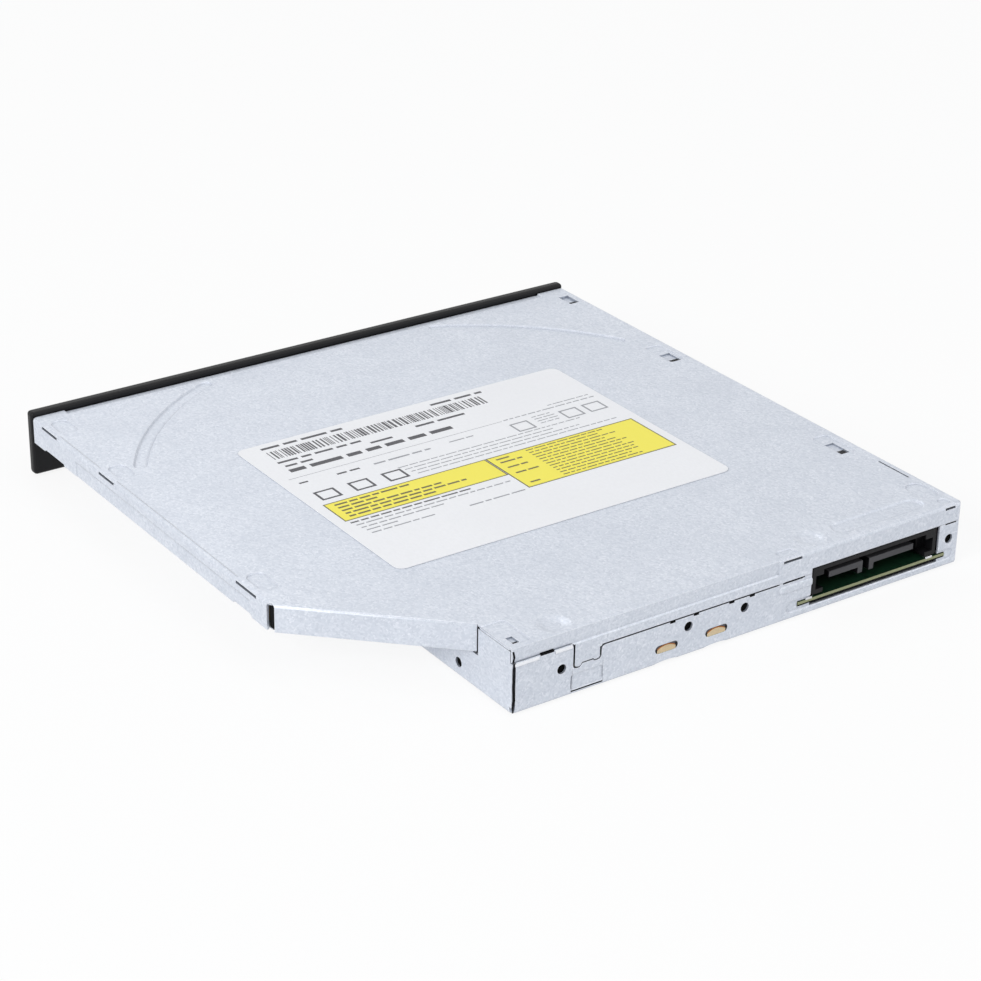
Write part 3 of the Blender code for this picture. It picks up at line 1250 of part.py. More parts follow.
def deck_window():
    """The opening over the deck; the tray floor keeps an ear above each rubber mount."""
    z = (TRAY_UNDERSIDE - 0.0008, RECESS_FLOOR + 0.00005)
    window = plate("deck_window", [deck_outline(WINDOW_MARGIN)], z)
    ears = []
    for s, v in DECK_FIXINGS:
        s_limits = (DECK_BACK, s + EAR_REACH) if s < 0 else (s - EAR_REACH, DECK_FRONT)
        v_limits = (-DECK_HALF_WIDTH, v + EAR_REACH) if v < 0 else around(v, EAR_REACH)
        ears.append((s_limits, v_limits, (z[0] - 0.001, z[1] + 0.001)))
    cut(window, to_deck(blocks("window_ears", ears)))
    return to_deck(window)


def tray_hollows():
    """Room over the connector, finger relief in the rim, and the front wall's openings."""
    front = (FRONT - 0.001, FRONT + SKIRT + 0.0005)
    low = UNDERPLATE_TOP
    return blocks("tray_hollows", [
        ((PORT_LEFT - 0.003, PORT_RIGHT + 0.003), (SKIRT_REAR_LEFT + 0.0004, REAR),
         (UNDERPLATE_TOP, TOP - CONNECTOR_LIP + 0.0002)),
        (around(BUTTON_X, BUTTON_WIDTH / 2 + 0.001), front, (low, BUTTON_Z + 0.0022)),
        (around(LED_X, 0.0016), front, (low, BUTTON_Z + 0.0022)),
        (around(PINHOLE_X, 0.0012), front, (low, BUTTON_Z + 0.0022)),
        (around(PUSHER_X, 0.0021), (REAR - 0.004, REAR), (PUSHER_Z - 0.0021, PUSHER_Z + 0.0021)),
    ])


def make_underplate():
    left = -TRAY_EDGE
    front = FRONT + 0.00015
    rear = INNER_REAR - TRAY_REAR_GAP
    window_x = around(CABLE_X, CABLE_WIDTH / 2 + 0.0022)
    window_y = (TRAY_CONNECTOR_Y - 0.0045, TRAY_CONNECTOR_Y + 0.0055)
    outline = [(left, front), (SKIRT_RIGHT, front), (SKIRT_RIGHT, LOCK_PIN[1] - 0.0028),
               (PIN_CHANNEL_LEFT, LOCK_PIN[1] - 0.0028), (PIN_CHANNEL_LEFT, rear),
               (CONNECTOR_BOARD_RIGHT + 0.0015, rear), (CONNECTOR_BOARD_RIGHT + 0.0015, SKIRT_REAR_LEFT),
               (left, SKIRT_REAR_LEFT)]
    window = [(window_x[0], window_y[0]), (window_x[0], window_y[1]), (window_x[1], window_y[1]),
              (window_x[1], window_y[0])]
    underplate = plate("tray_underplate", [outline, window], (UNDERPLATE_BOTTOM, UNDERPLATE_TOP), STEEL)
    cut(underplate, posts("underplate_screw_holes", UNDERPLATE_SCREWS, SCREW_HEAD + 0.0003,
                          (UNDERPLATE_BOTTOM - 0.001, UNDERPLATE_TOP + 0.001), 20))
    return underplate


def make_underplate_screws():
    for index, place in enumerate(UNDERPLATE_SCREWS):
        flat_screw("underplate_screw_%d" % (index + 1), place, UNDERPLATE_BOTTOM - 0.0001, 0.003,
                   BRIGHT_STEEL)


def make_bezel():
    x = (LEFT - BEZEL_OVERLAP, RIGHT + BEZEL_OVERLAP)
    z = (BEZEL_BOTTOM, TOP + BEZEL_PROUD)
    bezel = block("bezel", x, (BEZEL_FRONT, BEZEL_BACK), z, BLACK_PLASTIC)
    bevel(bezel, BEZEL_EDGE, 3)
    through = (BEZEL_FRONT - 0.001, BEZEL_BACK + 0.001)
    gap = 0.0002
    button = blocks("button_hole", [(around(BUTTON_X, BUTTON_WIDTH / 2 + gap), through,
                                     around(BUTTON_Z, BUTTON_HEIGHT / 2 + gap))])
    led = bar("led_hole", LED_RADIUS + 0.00012, (LED_X, through[0], BUTTON_Z), through[1] - through[0],
              "Y", segments=16)
    pinhole = bar("release_hole", PINHOLE_RADIUS, (PINHOLE_X, through[0], BUTTON_Z),
                  through[1] - through[0], "Y", segments=16)
    return cut(bezel, button, led, pinhole)


def make_front_controls():
    button_y = (BEZEL_FRONT - BUTTON_PROUD, FRONT + 0.0008)
    button = block("eject_button", around(BUTTON_X, BUTTON_WIDTH / 2), button_y,
                   around(BUTTON_Z, BUTTON_HEIGHT / 2), BLACK_PLASTIC)
    bevel(button, 0.0003, 2)
    bar("led_lens", LED_RADIUS, (LED_X, BEZEL_FRONT - 0.00005, BUTTON_Z), 0.0034, "Y", LED_PLASTIC, 16)
    board_top = BUTTON_Z - 0.0012
    board_front = FRONT + SKIRT + 0.0006
    board_y = (board_front, board_front + BUTTON_BOARD_DEPTH)
    block("button_board", (PINHOLE_X - 0.003, BUTTON_X + 0.0042), board_y,
          (board_top - BOARD_THICKNESS, board_top), BOARD_GREEN)
    switch_front = button_y[1] + BUTTON_TRAVEL + 0.00015
    switch = block("eject_switch", around(BUTTON_X, 0.0024), (switch_front + 0.0006, switch_front + 0.0042),
                   (board_top + SOLDER_GAP, board_top + 0.0026), GREY_PLASTIC)
    join(switch, block("switch_stem", around(BUTTON_X, 0.0008), (switch_front, switch_front + 0.001),
                       around(BUTTON_Z, 0.0006)))


def make_main_board():
    z = (MAIN_BOARD_BOTTOM, MAIN_BOARD_BOTTOM + BOARD_THICKNESS)
    right = PIN_CHANNEL_LEFT - 0.0004
    back = SKIRT_REAR_LEFT - SKIRT - 0.0004
    reach = math.sqrt(2) * -DECK_BACK + 0.0035
    board = plate("main_board", [[(right, reach - right), (right, back), (reach - back, back)]], z,
                  BOARD_GREEN)
    cut(board, posts("main_board_holes", UNDERPLATE_SCREWS, 0.0024, (z[0] - 0.001, z[1] + 0.001), 16))
    chip_z = (z[1] + SOLDER_GAP, z[1] + SOLDER_GAP + CHIP_HEIGHT)
    chip_right = right - 0.0049
    chip_back = back - 0.0051
    controller = block("controller_chip", (chip_right - CONTROLLER_CHIP, chip_right),
                       (chip_back - CONTROLLER_CHIP, chip_back), chip_z, BLACK_PLASTIC)
    bevel(controller, 0.0002, 1)
    driver_right = right - 0.0029
    driver_front = reach - right + 0.01444
    driver = block("motor_driver_chip", (driver_right - DRIVER_CHIP, driver_right),
                   (driver_front, driver_front + DRIVER_CHIP), chip_z, BLACK_PLASTIC)
    bevel(driver, 0.0002, 1)


# Disc mechanism

def make_deck():
    plate_z = (DECK_PLATE_BOTTOM, DECK_PLATE_TOP)
    deck = plate("deck_frame", [deck_outline()], plate_z, BLACK_PAINT)
    half = ROD_SPACING / 2 + 0.003
    walls = [((DECK_BACK, DECK_BACK + 0.002), (-half, half), (DECK_PLATE_TOP - 0.0002, DECK_WALL_TOP)),
             ((DECK_FRONT - 0.002, DECK_FRONT), (-half + 0.0003, half - 0.0003),
              (DECK_PLATE_TOP - 0.0002, DECK_WALL_TOP))]
    sides = [((DECK_BACK + 0.0005, DECK_FRONT - DECK_NOSE), (side - 0.0004, side + 0.0004),
              (DECK_PLATE_TOP - 0.0002, DECK_WALL_TOP))
             for side in (-DECK_HALF_WIDTH + 0.0004, DECK_HALF_WIDTH - 0.0004)]
    bearing = ((DECK_SCREW_END, DECK_SCREW_END + 0.0012), around(SCREW_OFFSET, 0.0014),
               (DECK_PLATE_TOP - 0.0002, SCREW_Z + 0.0018))
    join(deck, blocks("deck_end_walls", walls), blocks("deck_side_walls", sides),
         blocks("deck_screw_bearing", [bearing]))
    opening = blocks("deck_opening", [((SLED_START + 0.0005, SLED_END + 0.0005),
                                       around(0, POD_HALF_WIDTH + 0.0008),
                                       (plate_z[0] - 0.001, plate_z[1] + 0.0005))])
    spindle = posts("deck_spindle_hole", [(0, 0)], ROTOR_RADIUS + 0.0010,
                    (plate_z[0] - 0.001, plate_z[1] + 0.0005), 32)
    motor = blocks("deck_motor_hole", [((MOTOR_START - 0.0004, MOTOR_START + MOTOR_LENGTH + 0.0009),
                                        around(SCREW_OFFSET, MOTOR_RADIUS + 0.0003),
                                        (plate_z[0] - 0.001, plate_z[1] + 0.0005))])
    fixings = posts("deck_fixing_holes", DECK_FIXINGS, GROMMET_WAIST + 0.0001,
                    (plate_z[0] - 0.001, plate_z[1] + 0.0005), 20)
    cut(deck, opening, spindle, motor, fixings)
    for index, v in enumerate((-ROD_SPACING / 2, ROD_SPACING / 2)):
        cut(deck, to_deck(bar("rod_seat_%d" % (index + 1), ROD_RADIUS + 0.00012,
                              (DECK_BACK - 0.001, v, ROD_Z), DECK_FRONT - DECK_BACK + 0.002, "X",
                              segments=16)))
    cut(deck, to_deck(bar("screw_seat", SCREW_RADIUS * 0.6 + 0.00012,
                          (DECK_SCREW_END - 0.001, SCREW_OFFSET, SCREW_Z), 0.004, "X", segments=16)))
    for modifier in deck.modifiers:
        to_deck(modifier.object)
    return to_deck(deck)


def make_deck_cover():
    z = (DECK_COVER_BOTTOM, DECK_COVER_BOTTOM + DECK_COVER_SHEET)
    cover = plate("deck_cover", [deck_outline()], z, BLACK_PAINT)
    through = (z[0] - 0.001, z[1] + 0.001)
    hole = posts("deck_cover_hole", [(0, 0)], TABLE_RADIUS + 0.0012, through, 40)
    slot = blocks("deck_cover_slot", [((0.008, DECK_FRONT - 0.0030), (-0.0068, 0.0068), through)])
    fixings = posts("deck_cover_fixing_holes", DECK_FIXINGS, 0.0028, through, 16)
    for tool in (hole, slot, fixings):
        cut(cover, to_deck(tool))
    return to_deck(cover)


def make_deck_fixings():
    """Rubber mounts that sit round the deck's edge holes, and the screws through them."""
    for index, place in enumerate(deck_fixing_places()):
        lip = 0.0001
        profile = [(GROMMET_BORE, GROMMET_TOP), (GROMMET_RADIUS, GROMMET_TOP),
                   (GROMMET_RADIUS, DECK_PLATE_TOP + lip), (GROMMET_WAIST, DECK_PLATE_TOP + lip),
                   (GROMMET_WAIST, DECK_PLATE_BOTTOM - lip), (GROMMET_RADIUS, DECK_PLATE_BOTTOM - lip),
                   (GROMMET_RADIUS, GROMMET_BOTTOM), (GROMMET_BORE, GROMMET_BOTTOM)]
        turned("rubber_mount_%d" % (index + 1), profile + [profile[0]], place, RUBBER, steps=14)
        head = GROMMET_BOTTOM - 0.0001
        screw = [(0, TRAY_UNDERSIDE - 0.0012), (DECK_SCREW_RADIUS, TRAY_UNDERSIDE - 0.0012),
                 (DECK_SCREW_RADIUS, head), (0.0018, head), (0.0018, head - 0.0004), (0, head - 0.0004)]
        turned("deck_screw_%d" % (index + 1), screw, place, BRIGHT_STEEL, steps=14)


def make_rods():
    for index, v in enumerate((-ROD_SPACING / 2, ROD_SPACING / 2)):
        to_deck(bar("guide_rod_%d" % (index + 1), ROD_RADIUS, (DECK_BACK + 0.0002, v, ROD_Z),
                    DECK_FRONT - DECK_BACK - 0.0004, "X", BRIGHT_STEEL, 20))


def make_feed_drive():
    motor = bar("feed_motor", MOTOR_RADIUS, (MOTOR_START, SCREW_OFFSET, SCREW_Z), MOTOR_LENGTH, "X",
                BRIGHT_STEEL, 28)
    join(motor, to_deck(bar("feed_motor_boss", 0.0013, (MOTOR_START + MOTOR_LENGTH - 0.0005, SCREW_OFFSET,
                                                        SCREW_Z), 0.0010, "X", segments=20)))
    to_deck(motor)
    start = MOTOR_START + MOTOR_LENGTH + 0.0008
    length = DECK_SCREW_END - 0.0004 - start
    screw = bar("lead_screw", SCREW_RADIUS, (start, SCREW_OFFSET, SCREW_Z), length, "X", BRIGHT_STEEL, 20)
    tip = bar("lead_screw_tip", SCREW_RADIUS * 0.6, (start + length - 0.0003, SCREW_OFFSET, SCREW_Z),
              0.0012, "X", segments=16)
    join(screw, to_deck(tip))
    to_deck(screw)


def make_spindle():
    base_z = (UNDERPLATE_TOP + SEAT_GAP, DECK_PLATE_BOTTOM - SEAT_GAP)
    base_radius = ROTOR_RADIUS + 0.0016
    base = [(SHAFT_RADIUS + 0.00006, ROTOR_BOTTOM + 0.0018), (0.0026, ROTOR_BOTTOM + 0.0018),
            (0.0026, ROTOR_BOTTOM + 0.0002), (0.0088, ROTOR_BOTTOM + 0.0002 - 0.0008),
            (0.0088, base_z[1]), (base_radius, base_z[1]), (base_radius, base_z[0]), (0, base_z[0]),
            (0, base_z[0] + 0.0004), (SHAFT_RADIUS + 0.00006, base_z[0] + 0.0004)]
    turned("spindle_base", base + [base[0]], (0, 0), STEEL, steps=24)
    table_top = DISC_HEIGHT
    roof = table_top - 0.0011
    hub = [(0, DISC_HEIGHT + 0.0014), (NOSE_RADIUS - 0.0011, DISC_HEIGHT + 0.0014),
           (NOSE_RADIUS, DISC_HEIGHT + 0.0008), (NOSE_RADIUS, table_top), (TABLE_RADIUS, table_top),
           (TABLE_RADIUS, table_top - 0.0006), (ROTOR_RADIUS, table_top - 0.0010),
           (ROTOR_RADIUS, ROTOR_BOTTOM), (ROTOR_RADIUS - 0.0008, ROTOR_BOTTOM),
           (ROTOR_RADIUS - 0.0008, roof - 0.0008), (SHAFT_RADIUS, roof - 0.0008),
           (SHAFT_RADIUS, base_z[0] + 0.0006), (0, base_z[0] + 0.0006)]
    spindle = turned("spindle_hub", hub, (0, 0), BLACK_PLASTIC, steps=32)
    slots = bmesh.new()
    for angle in CLAW_ANGLES:
        turn = Matrix.Rotation(math.radians(angle), 4, "Z")
        centre = Matrix.Translation(((CLAW_INNER - CLAW_TRAVEL - 0.00015 + 0.0085) / 2, 0,
                                     DISC_HEIGHT + 0.0012))
        size = Matrix.Diagonal((0.0085 - CLAW_INNER + CLAW_TRAVEL + 0.00015, CLAW_WIDTH + 0.0003,
                                0.0020, 1.0))
        bmesh.ops.create_cube(slots, size=1.0, matrix=turn @ centre @ size)
    cut(spindle, object_from(slots, "claw_slots"))
    for index, angle in enumerate(CLAW_ANGLES):
        make_claw("disc_claw_%d" % (index + 1), angle)


def make_claw(name, angle):
    """A sprung catch that holds the disc's edge, sloped on top so that a disc pushes it in."""
    low = DISC_HEIGHT + 0.0003
    loop = [(CLAW_INNER, low), (NOSE_RADIUS - 0.0002, low), (CLAW_TIP, low + 0.0004),
            (NOSE_RADIUS - 0.0006, low + 0.0010), (CLAW_INNER, low + 0.0010)]
    claw = section_along_y(name, loop, around(0.0, CLAW_WIDTH / 2), GREY_PLASTIC)
    turn = Matrix.Rotation(math.radians(angle), 4, "Z")
    claw.data.transform(turn @ claw.matrix_basis)
    claw.matrix_basis = Matrix.Identity(4)
    return claw


def make_sled():
    x = (SLED_START, LENS_HOME + SLED_FRONT)
    low = DECK_PLATE_TOP + 0.00025
    sled = block("sled", x, (-SLED_HALF_WIDTH, SLED_HALF_WIDTH), (low, SLED_TOP), GREY_PLASTIC)
    bevel(sled, 0.0004, 1)
    pod = block("sled_pod", (x[0] + 0.001, x[1] - 0.001), around(0, POD_HALF_WIDTH),
                (DECK_PLATE_BOTTOM - 0.0004, low + 0.0003))
    join(sled, to_deck(pod))
    well = blocks("sled_well", [((LENS_HOME - 0.0045, LENS_HOME + 0.0042), (-0.0048, 0.0048),
                                 (SLED_TOP - 0.0010, SLED_TOP + 0.001))])
    cut(sled, to_deck(well))
    for index, v in enumerate((-ROD_SPACING / 2, ROD_SPACING / 2)):
        cut(sled, to_deck(bar("sled_bore_%d" % (index + 1), ROD_RADIUS + 0.00008,
                              (x[0] - 0.001, v, ROD_Z), x[1] - x[0] + 0.002, "X", segments=16)))
    to_deck(sled)
    nut_x = (LENS_HOME - 0.0060, LENS_HOME + 0.0015)
    nut = block("sled_nut", nut_x, (SLED_HALF_WIDTH + 0.0001, SCREW_OFFSET + SCREW_RADIUS + 0.0005),
                (low, SLED_TOP), BEIGE_PLASTIC)
    cut(nut, to_deck(bar("nut_bore", SCREW_RADIUS + 0.00012, (nut_x[0] - 0.001, SCREW_OFFSET, SCREW_Z),
                         nut_x[1] - nut_x[0] + 0.002, "X", segments=16)))
    to_deck(nut)


def make_lens():
    low = SLED_TOP + FOCUS_TRAVEL + 0.0001
    holder = block("lens_holder", around(LENS_HOME, HOLDER_LENGTH / 2), around(0, HOLDER_WIDTH / 2),
                   (low, low + HOLDER_HEIGHT), BLACK_PLASTIC)
    cut(holder, to_deck(posts("lens_seat", [(LENS_HOME, 0)], LENS_RADIUS + 0.00006,
                              (low - 0.001, low + 0.002), 24)))
    to_deck(holder)
    profile = [(0, low + 0.0014), (LENS_RADIUS * 0.5, low + 0.00132), (LENS_RADIUS * 0.85, low + 0.0011),
               (LENS_RADIUS, low + 0.0009), (LENS_RADIUS, low + 0.0003), (0, low + 0.0003)]
    to_deck(turned("objective_lens", profile, (LENS_HOME, 0), CLEAR_LENS, steps=24))


# Tray lock and eject spring

def make_latch():
    """A flat lever: its hook goes behind the lock pin, its tail sits in the plunger's groove."""
    z = (LATCH_Z, LATCH_Z + LATCH_SHEET)
    pivot = Vector(LATCH_PIVOT)
    hook = Vector(LATCH_HOOK)
    along = (hook - pivot).normalized()
    across = Vector((-along.y, along.x))
    half = LATCH_ARM / 2
    tip = hook + along * half
    tail_x = PLUNGER_X + PLUNGER_NECK + 0.0003
    outline = [pivot + across * half + along * 0.0015, tip + across * half, tip - across * half,
               pivot - across * half + along * 0.0015]
    arm = plate("latch_lever", [[tuple(point) for point in outline]], z, BRIGHT_STEEL)
    eye = posts("latch_eye", [LATCH_PIVOT], 0.0026, z, 24)
    tail = blocks("latch_tail", [((tail_x, pivot.x - 0.0015), around(pivot.y, 0.0005), z)])
    join(arm, eye, tail)
    cut(arm, posts("latch_bore", [LATCH_PIVOT], 0.0011 + RUN_GAP, (z[0] - 0.001, z[1] + 0.001), 20))
    arm.data.transform(arm.matrix_basis)
    arm.data.transform(Matrix.Translation((-pivot.x, -pivot.y, -z[0])))
    arm.matrix_basis = Matrix.Translation((pivot.x, pivot.y, z[0]))
    return arm


def turned_along_y(name, profile, at, finish, steps=20):
    """A turned piece lying along Y; its profile's heights are measured from a point."""
    obj = turned(name, profile, (0, 0), finish, steps)
    obj.rotation_euler = (-math.pi / 2, 0, 0)
    obj.location = at
    return obj


def make_plunger():
    neck = PLUNGER_NECK
    head = 0.0022
    groove = PLUNGER_GROOVE / 2
    start = SOLENOID_Y[1] - LATCH_PIVOT[1] - PLUNGER_DEPTH
    profile = [(0, groove + 0.0010), (head, groove + 0.0010), (head, groove), (neck, groove),
               (neck, -groove), (head, -groove), (head, -groove - 0.0008),
               (PLUNGER_RADIUS, -groove - 0.0008), (PLUNGER_RADIUS, start), (0, start)]
    at = (PLUNGER_X, LATCH_PIVOT[1], LATCH_Z + LATCH_SHEET / 2)
    return turned_along_y("plunger", profile, at, BRIGHT_STEEL)


def make_solenoid():
    z_middle = LATCH_Z + LATCH_SHEET / 2
    yoke = block("solenoid", around(PLUNGER_X, SOLENOID_WIDTH / 2), SOLENOID_Y,
                 (UNDERPLATE_TOP + SEAT_GAP, z_middle + 0.0028), STEEL)
    pocket = blocks("solenoid_pockets", [
        (around(PLUNGER_X, SOLENOID_WIDTH), (SOLENOID_Y[0] + 0.0012, SOLENOID_Y[1] - 0.0012),
         (z_middle + 0.0020, z_middle + 0.004))])
    cut(yoke, pocket)
    coil = bar("solenoid_coil", 0.0023, (PLUNGER_X, SOLENOID_Y[0] + 0.001, z_middle),
               SOLENOID_Y[1] - SOLENOID_Y[0] - 0.002, "Y", segments=20)
    join(yoke, coil)
    return cut(yoke, bar("solenoid_bore", PLUNGER_RADIUS + 0.00015,
                         (PLUNGER_X, SOLENOID_Y[1] - SOLENOID_BORE, z_middle), SOLENOID_BORE + 0.0025, "Y",
                         segments=20))


def make_eject_pusher():
    front = SKIRT_REAR_LEFT + 0.0005
    length = REAR - SHEET - SEAT_GAP - front
    profile = [(0, length), (0.0017, length), (0.0017, length - 0.0030), (0.0010, length - 0.0030),
               (0.0010, 0), (0, 0)]
    turned_along_y("eject_pusher", profile, (PUSHER_X, front, PUSHER_Z), BEIGE_PLASTIC)
    curve = bpy.data.curves.new("eject_spring", "CURVE")
    curve.dimensions = "3D"
    curve.bevel_depth = 0.00012
    curve.bevel_resolution = 1
    curve.use_fill_caps = True
    turns = 6
    per_turn = 8
    spline = curve.splines.new("POLY")
    spline.points.add(turns * per_turn)
    start = 0.0006
    span = length - 0.0034 - start
    for index, point in enumerate(spline.points):
        angle = 2 * math.pi * index / per_turn
        along = start + span * index / (turns * per_turn)
        point.co = (0.0014 * math.cos(angle), along, 0.0014 * math.sin(angle), 1.0)
    spring = bpy.data.objects.new("eject_spring", curve)
    spring.location = (PUSHER_X, front, PUSHER_Z)
    parts.objects.link(spring)
    dress(spring, BRIGHT_STEEL)


deck_axis = bpy.data.objects.new("deck_axis", None)
deck_axis.rotation_euler = (0, 0, math.radians(DECK_ANGLE))
bpy.context.scene.collection.objects.link(deck_axis)
bpy.context.view_layer.update()

make_bottom_case()
make_top_cover()
make_label()
make_guides()
make_rail("right_rail", 1, (FRONT + 0.0012, RIGHT_GUIDE_END - 0.0002))
make_rail("left_rail", -1, (FRONT + 0.0012, LEFT_GUIDE_END - 0.0012))
make_lock_pin()
make_corner_stop()
make_case_screws()
make_connector_board()
make_connector_housing()
make_flat_cable()
make_flex_connector("rear_flex_connector", CONNECTOR_BOARD_FRONT + 0.0007,
                    (SHEET + SEAT_GAP, CONNECTOR_BOARD_BOTTOM - SOLDER_GAP))
make_flex_connector("tray_flex_connector", TRAY_CONNECTOR_Y,
                    (CABLE_HIGH + 0.0002, MAIN_BOARD_BOTTOM - SOLDER_GAP))
make_tray()
make_underplate()
make_underplate_screws()
make_bezel()
make_front_controls()
make_main_board()
make_deck()
make_deck_cover()
make_deck_fixings()
make_rods()
make_feed_drive()
make_spindle()
make_sled()
make_lens()
make_latch()
make_plunger()
make_solenoid()
make_eject_pusher()
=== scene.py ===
"""Looks of a slim tray-load optical disc drive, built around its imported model.

+X is the drive's right side seen from its front, -Y its front, +Z its label side.
Camera, lamps and materials are in metres; the pieces are laid out in millimetres.
"""

import json
import math
import random

import bmesh
import bpy
from mathutils import Matrix, Vector


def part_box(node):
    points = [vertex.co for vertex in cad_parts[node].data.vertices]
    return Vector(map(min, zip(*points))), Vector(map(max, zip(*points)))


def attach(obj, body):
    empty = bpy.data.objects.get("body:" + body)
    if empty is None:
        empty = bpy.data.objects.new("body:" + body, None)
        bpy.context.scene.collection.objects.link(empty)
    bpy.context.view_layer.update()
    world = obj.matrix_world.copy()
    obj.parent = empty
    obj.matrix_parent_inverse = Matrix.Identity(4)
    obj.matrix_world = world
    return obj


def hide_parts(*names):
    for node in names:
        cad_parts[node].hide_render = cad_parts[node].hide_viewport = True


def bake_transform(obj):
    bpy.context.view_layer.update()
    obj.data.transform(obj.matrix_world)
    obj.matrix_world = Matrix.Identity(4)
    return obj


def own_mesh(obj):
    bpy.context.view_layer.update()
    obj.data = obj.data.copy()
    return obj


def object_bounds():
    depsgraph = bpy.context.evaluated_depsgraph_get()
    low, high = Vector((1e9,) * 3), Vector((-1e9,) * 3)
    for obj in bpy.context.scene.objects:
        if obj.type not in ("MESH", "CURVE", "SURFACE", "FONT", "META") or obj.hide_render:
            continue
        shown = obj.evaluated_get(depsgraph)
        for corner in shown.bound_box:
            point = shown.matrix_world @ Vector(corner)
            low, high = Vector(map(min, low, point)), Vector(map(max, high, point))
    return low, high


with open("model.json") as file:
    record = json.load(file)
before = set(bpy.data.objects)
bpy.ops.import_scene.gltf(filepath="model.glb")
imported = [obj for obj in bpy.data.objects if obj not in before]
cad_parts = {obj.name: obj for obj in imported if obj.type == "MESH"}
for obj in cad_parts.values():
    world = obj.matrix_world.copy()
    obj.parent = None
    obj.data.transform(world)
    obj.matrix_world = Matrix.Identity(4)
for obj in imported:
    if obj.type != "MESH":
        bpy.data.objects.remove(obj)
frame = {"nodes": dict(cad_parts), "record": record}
cad_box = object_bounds()
nodes = frame["nodes"]

MM = 0.001

# Camera
CAMERA_AZIMUTH = 144.865
CAMERA_ELEVATION = 26.088
CAMERA_ROLL = 1.026
CAMERA_DISTANCE = 0.5066
CAMERA_AIM_HEIGHT = 0.006
CAMERA_AIM_RIGHT = 0.000948
CAMERA_AIM_UP = -0.000077
CAMERA_CLIP = 0.01
SENSOR_MM = 36.0
FOCAL_SHARE = 2.69806

# Lamps: name, place, size, power
LAMPS = (("key", (0.98, 0.28, 0.60), 0.5, 7.2),
         ("fill", (-0.55, 0.85, 0.9), 1.2, 3.4),
         ("back", (-0.22, -0.86, 0.92), 0.36, 1.0))

# World and floor
WHITE = (1.0, 1.0, 1.0)
SKY_COLOUR = (0.98, 0.99, 1.0)
DIFFUSE_SKY = 0.52
FLOOR_COLOUR = (0.93, 0.935, 0.94)
FLOOR_SIZE = 3.0
FLOOR_DROP = 0.0003
FLOOR_GLOW = 0.88

# Colours, linear
STEEL_COLOUR = (0.625, 0.668, 0.745)
STEEL_FLECK = (0.80, 0.83, 0.90)
# Painted highlight along the edges of sheet and metal
STEEL_EDGE_HIGHLIGHT = (0.86, 0.88, 0.93)
STEEL_SHADE = (0.53, 0.57, 0.65)
# Painted shade in tight hollows of the sheet
STEEL_HOLLOW_SHADE = (0.25, 0.28, 0.34)
# Painted shade along steps and folds of the sheet
STEEL_CREASE_SHADE = (0.36, 0.39, 0.45)
# Painted highlight on the rear wall's bend
BEND_HIGHLIGHT_COLOUR = (0.93, 0.94, 0.97)
BRIGHT_COLOUR = (0.70, 0.71, 0.73)
PAPER_COLOUR = (0.93, 0.94, 0.97)
INK_DARK = (0.045, 0.045, 0.055)
INK_SOFT = (0.30, 0.31, 0.34)
INK_YELLOW = (0.955, 0.855, 0.085)
INK_OLIVE = (0.10, 0.085, 0.02)
BLACK_COLOUR = (0.0065, 0.0065, 0.0075)
PAINT_COLOUR = (0.008, 0.008, 0.009)
GREY_COLOUR = (0.055, 0.055, 0.060)
BEIGE_COLOUR = (0.58, 0.47, 0.28)
BOARD_COLOUR = (0.004, 0.014, 0.008)
BOARD_TRACE = (0.006, 0.026, 0.013)
BOARD_EDGE = (0.30, 0.32, 0.18)
TAN_COLOUR = (0.61, 0.485, 0.305)
BROWN_COLOUR = (0.36, 0.13, 0.03)
CERAMIC_COLOUR = (0.30, 0.20, 0.11)
FILM_COLOUR = (0.50, 0.22, 0.05)
FILM_TRACE = (0.30, 0.12, 0.02)
RUBBER_COLOUR = (0.018, 0.018, 0.018)
GOLD_COLOUR = (0.85, 0.62, 0.26)
LENS_COLOURS = ((0.70, 0.86, 0.95), (0.80, 0.72, 0.95))
LED_COLOURS = ((0.16, 0.42, 0.14), (0.26, 0.60, 0.22))
WINDOW_SHADE = (0.09, 0.09, 0.10)
GAP_SHADE = (0.02, 0.02, 0.022)
SEAM_SHADE = (0.004, 0.004, 0.005)
HOLE_SHADE = (0.003, 0.003, 0.003)

SHARP_ANGLE = 32


# Camera, light and floor

def make_camera():
    azimuth = math.radians(CAMERA_AZIMUTH)
    elevation = math.radians(CAMERA_ELEVATION)
    roll = math.radians(CAMERA_ROLL)
    back = Vector((math.sin(azimuth) * math.cos(elevation), -math.cos(azimuth) * math.cos(elevation),
                   math.sin(elevation)))
    flat_right = Vector((0, 0, 1)).cross(back).normalized()
    flat_up = back.cross(flat_right)
    aim = Vector((0, 0, CAMERA_AIM_HEIGHT)) + flat_right * CAMERA_AIM_RIGHT + flat_up * CAMERA_AIM_UP
    right = flat_right * math.cos(roll) + flat_up * math.sin(roll)
    up = flat_up * math.cos(roll) - flat_right * math.sin(roll)
    data = bpy.data.cameras.new("camera")
    data.sensor_width = SENSOR_MM
    data.lens = SENSOR_MM * FOCAL_SHARE
    data.clip_start = CAMERA_CLIP
    camera = bpy.data.objects.new("camera", data)
    turn = Matrix((right, up, back)).transposed().to_4x4()
    camera.matrix_world = Matrix.Translation(aim + back * CAMERA_DISTANCE) @ turn
    bpy.context.scene.collection.objects.link(camera)
    bpy.context.scene.camera = camera


def make_lamp(name, place, size, power):
    """A square lamp that faces the origin."""
    data = bpy.data.lights.new(name, "AREA")
    data.shape = "SQUARE"
    data.size = size
    data.energy = power
    lamp = bpy.data.objects.new(name, data)
    lamp.location = place
    lamp.rotation_euler = (-Vector(place)).to_track_quat("-Z", "Y").to_euler()
    bpy.context.scene.collection.objects.link(lamp)


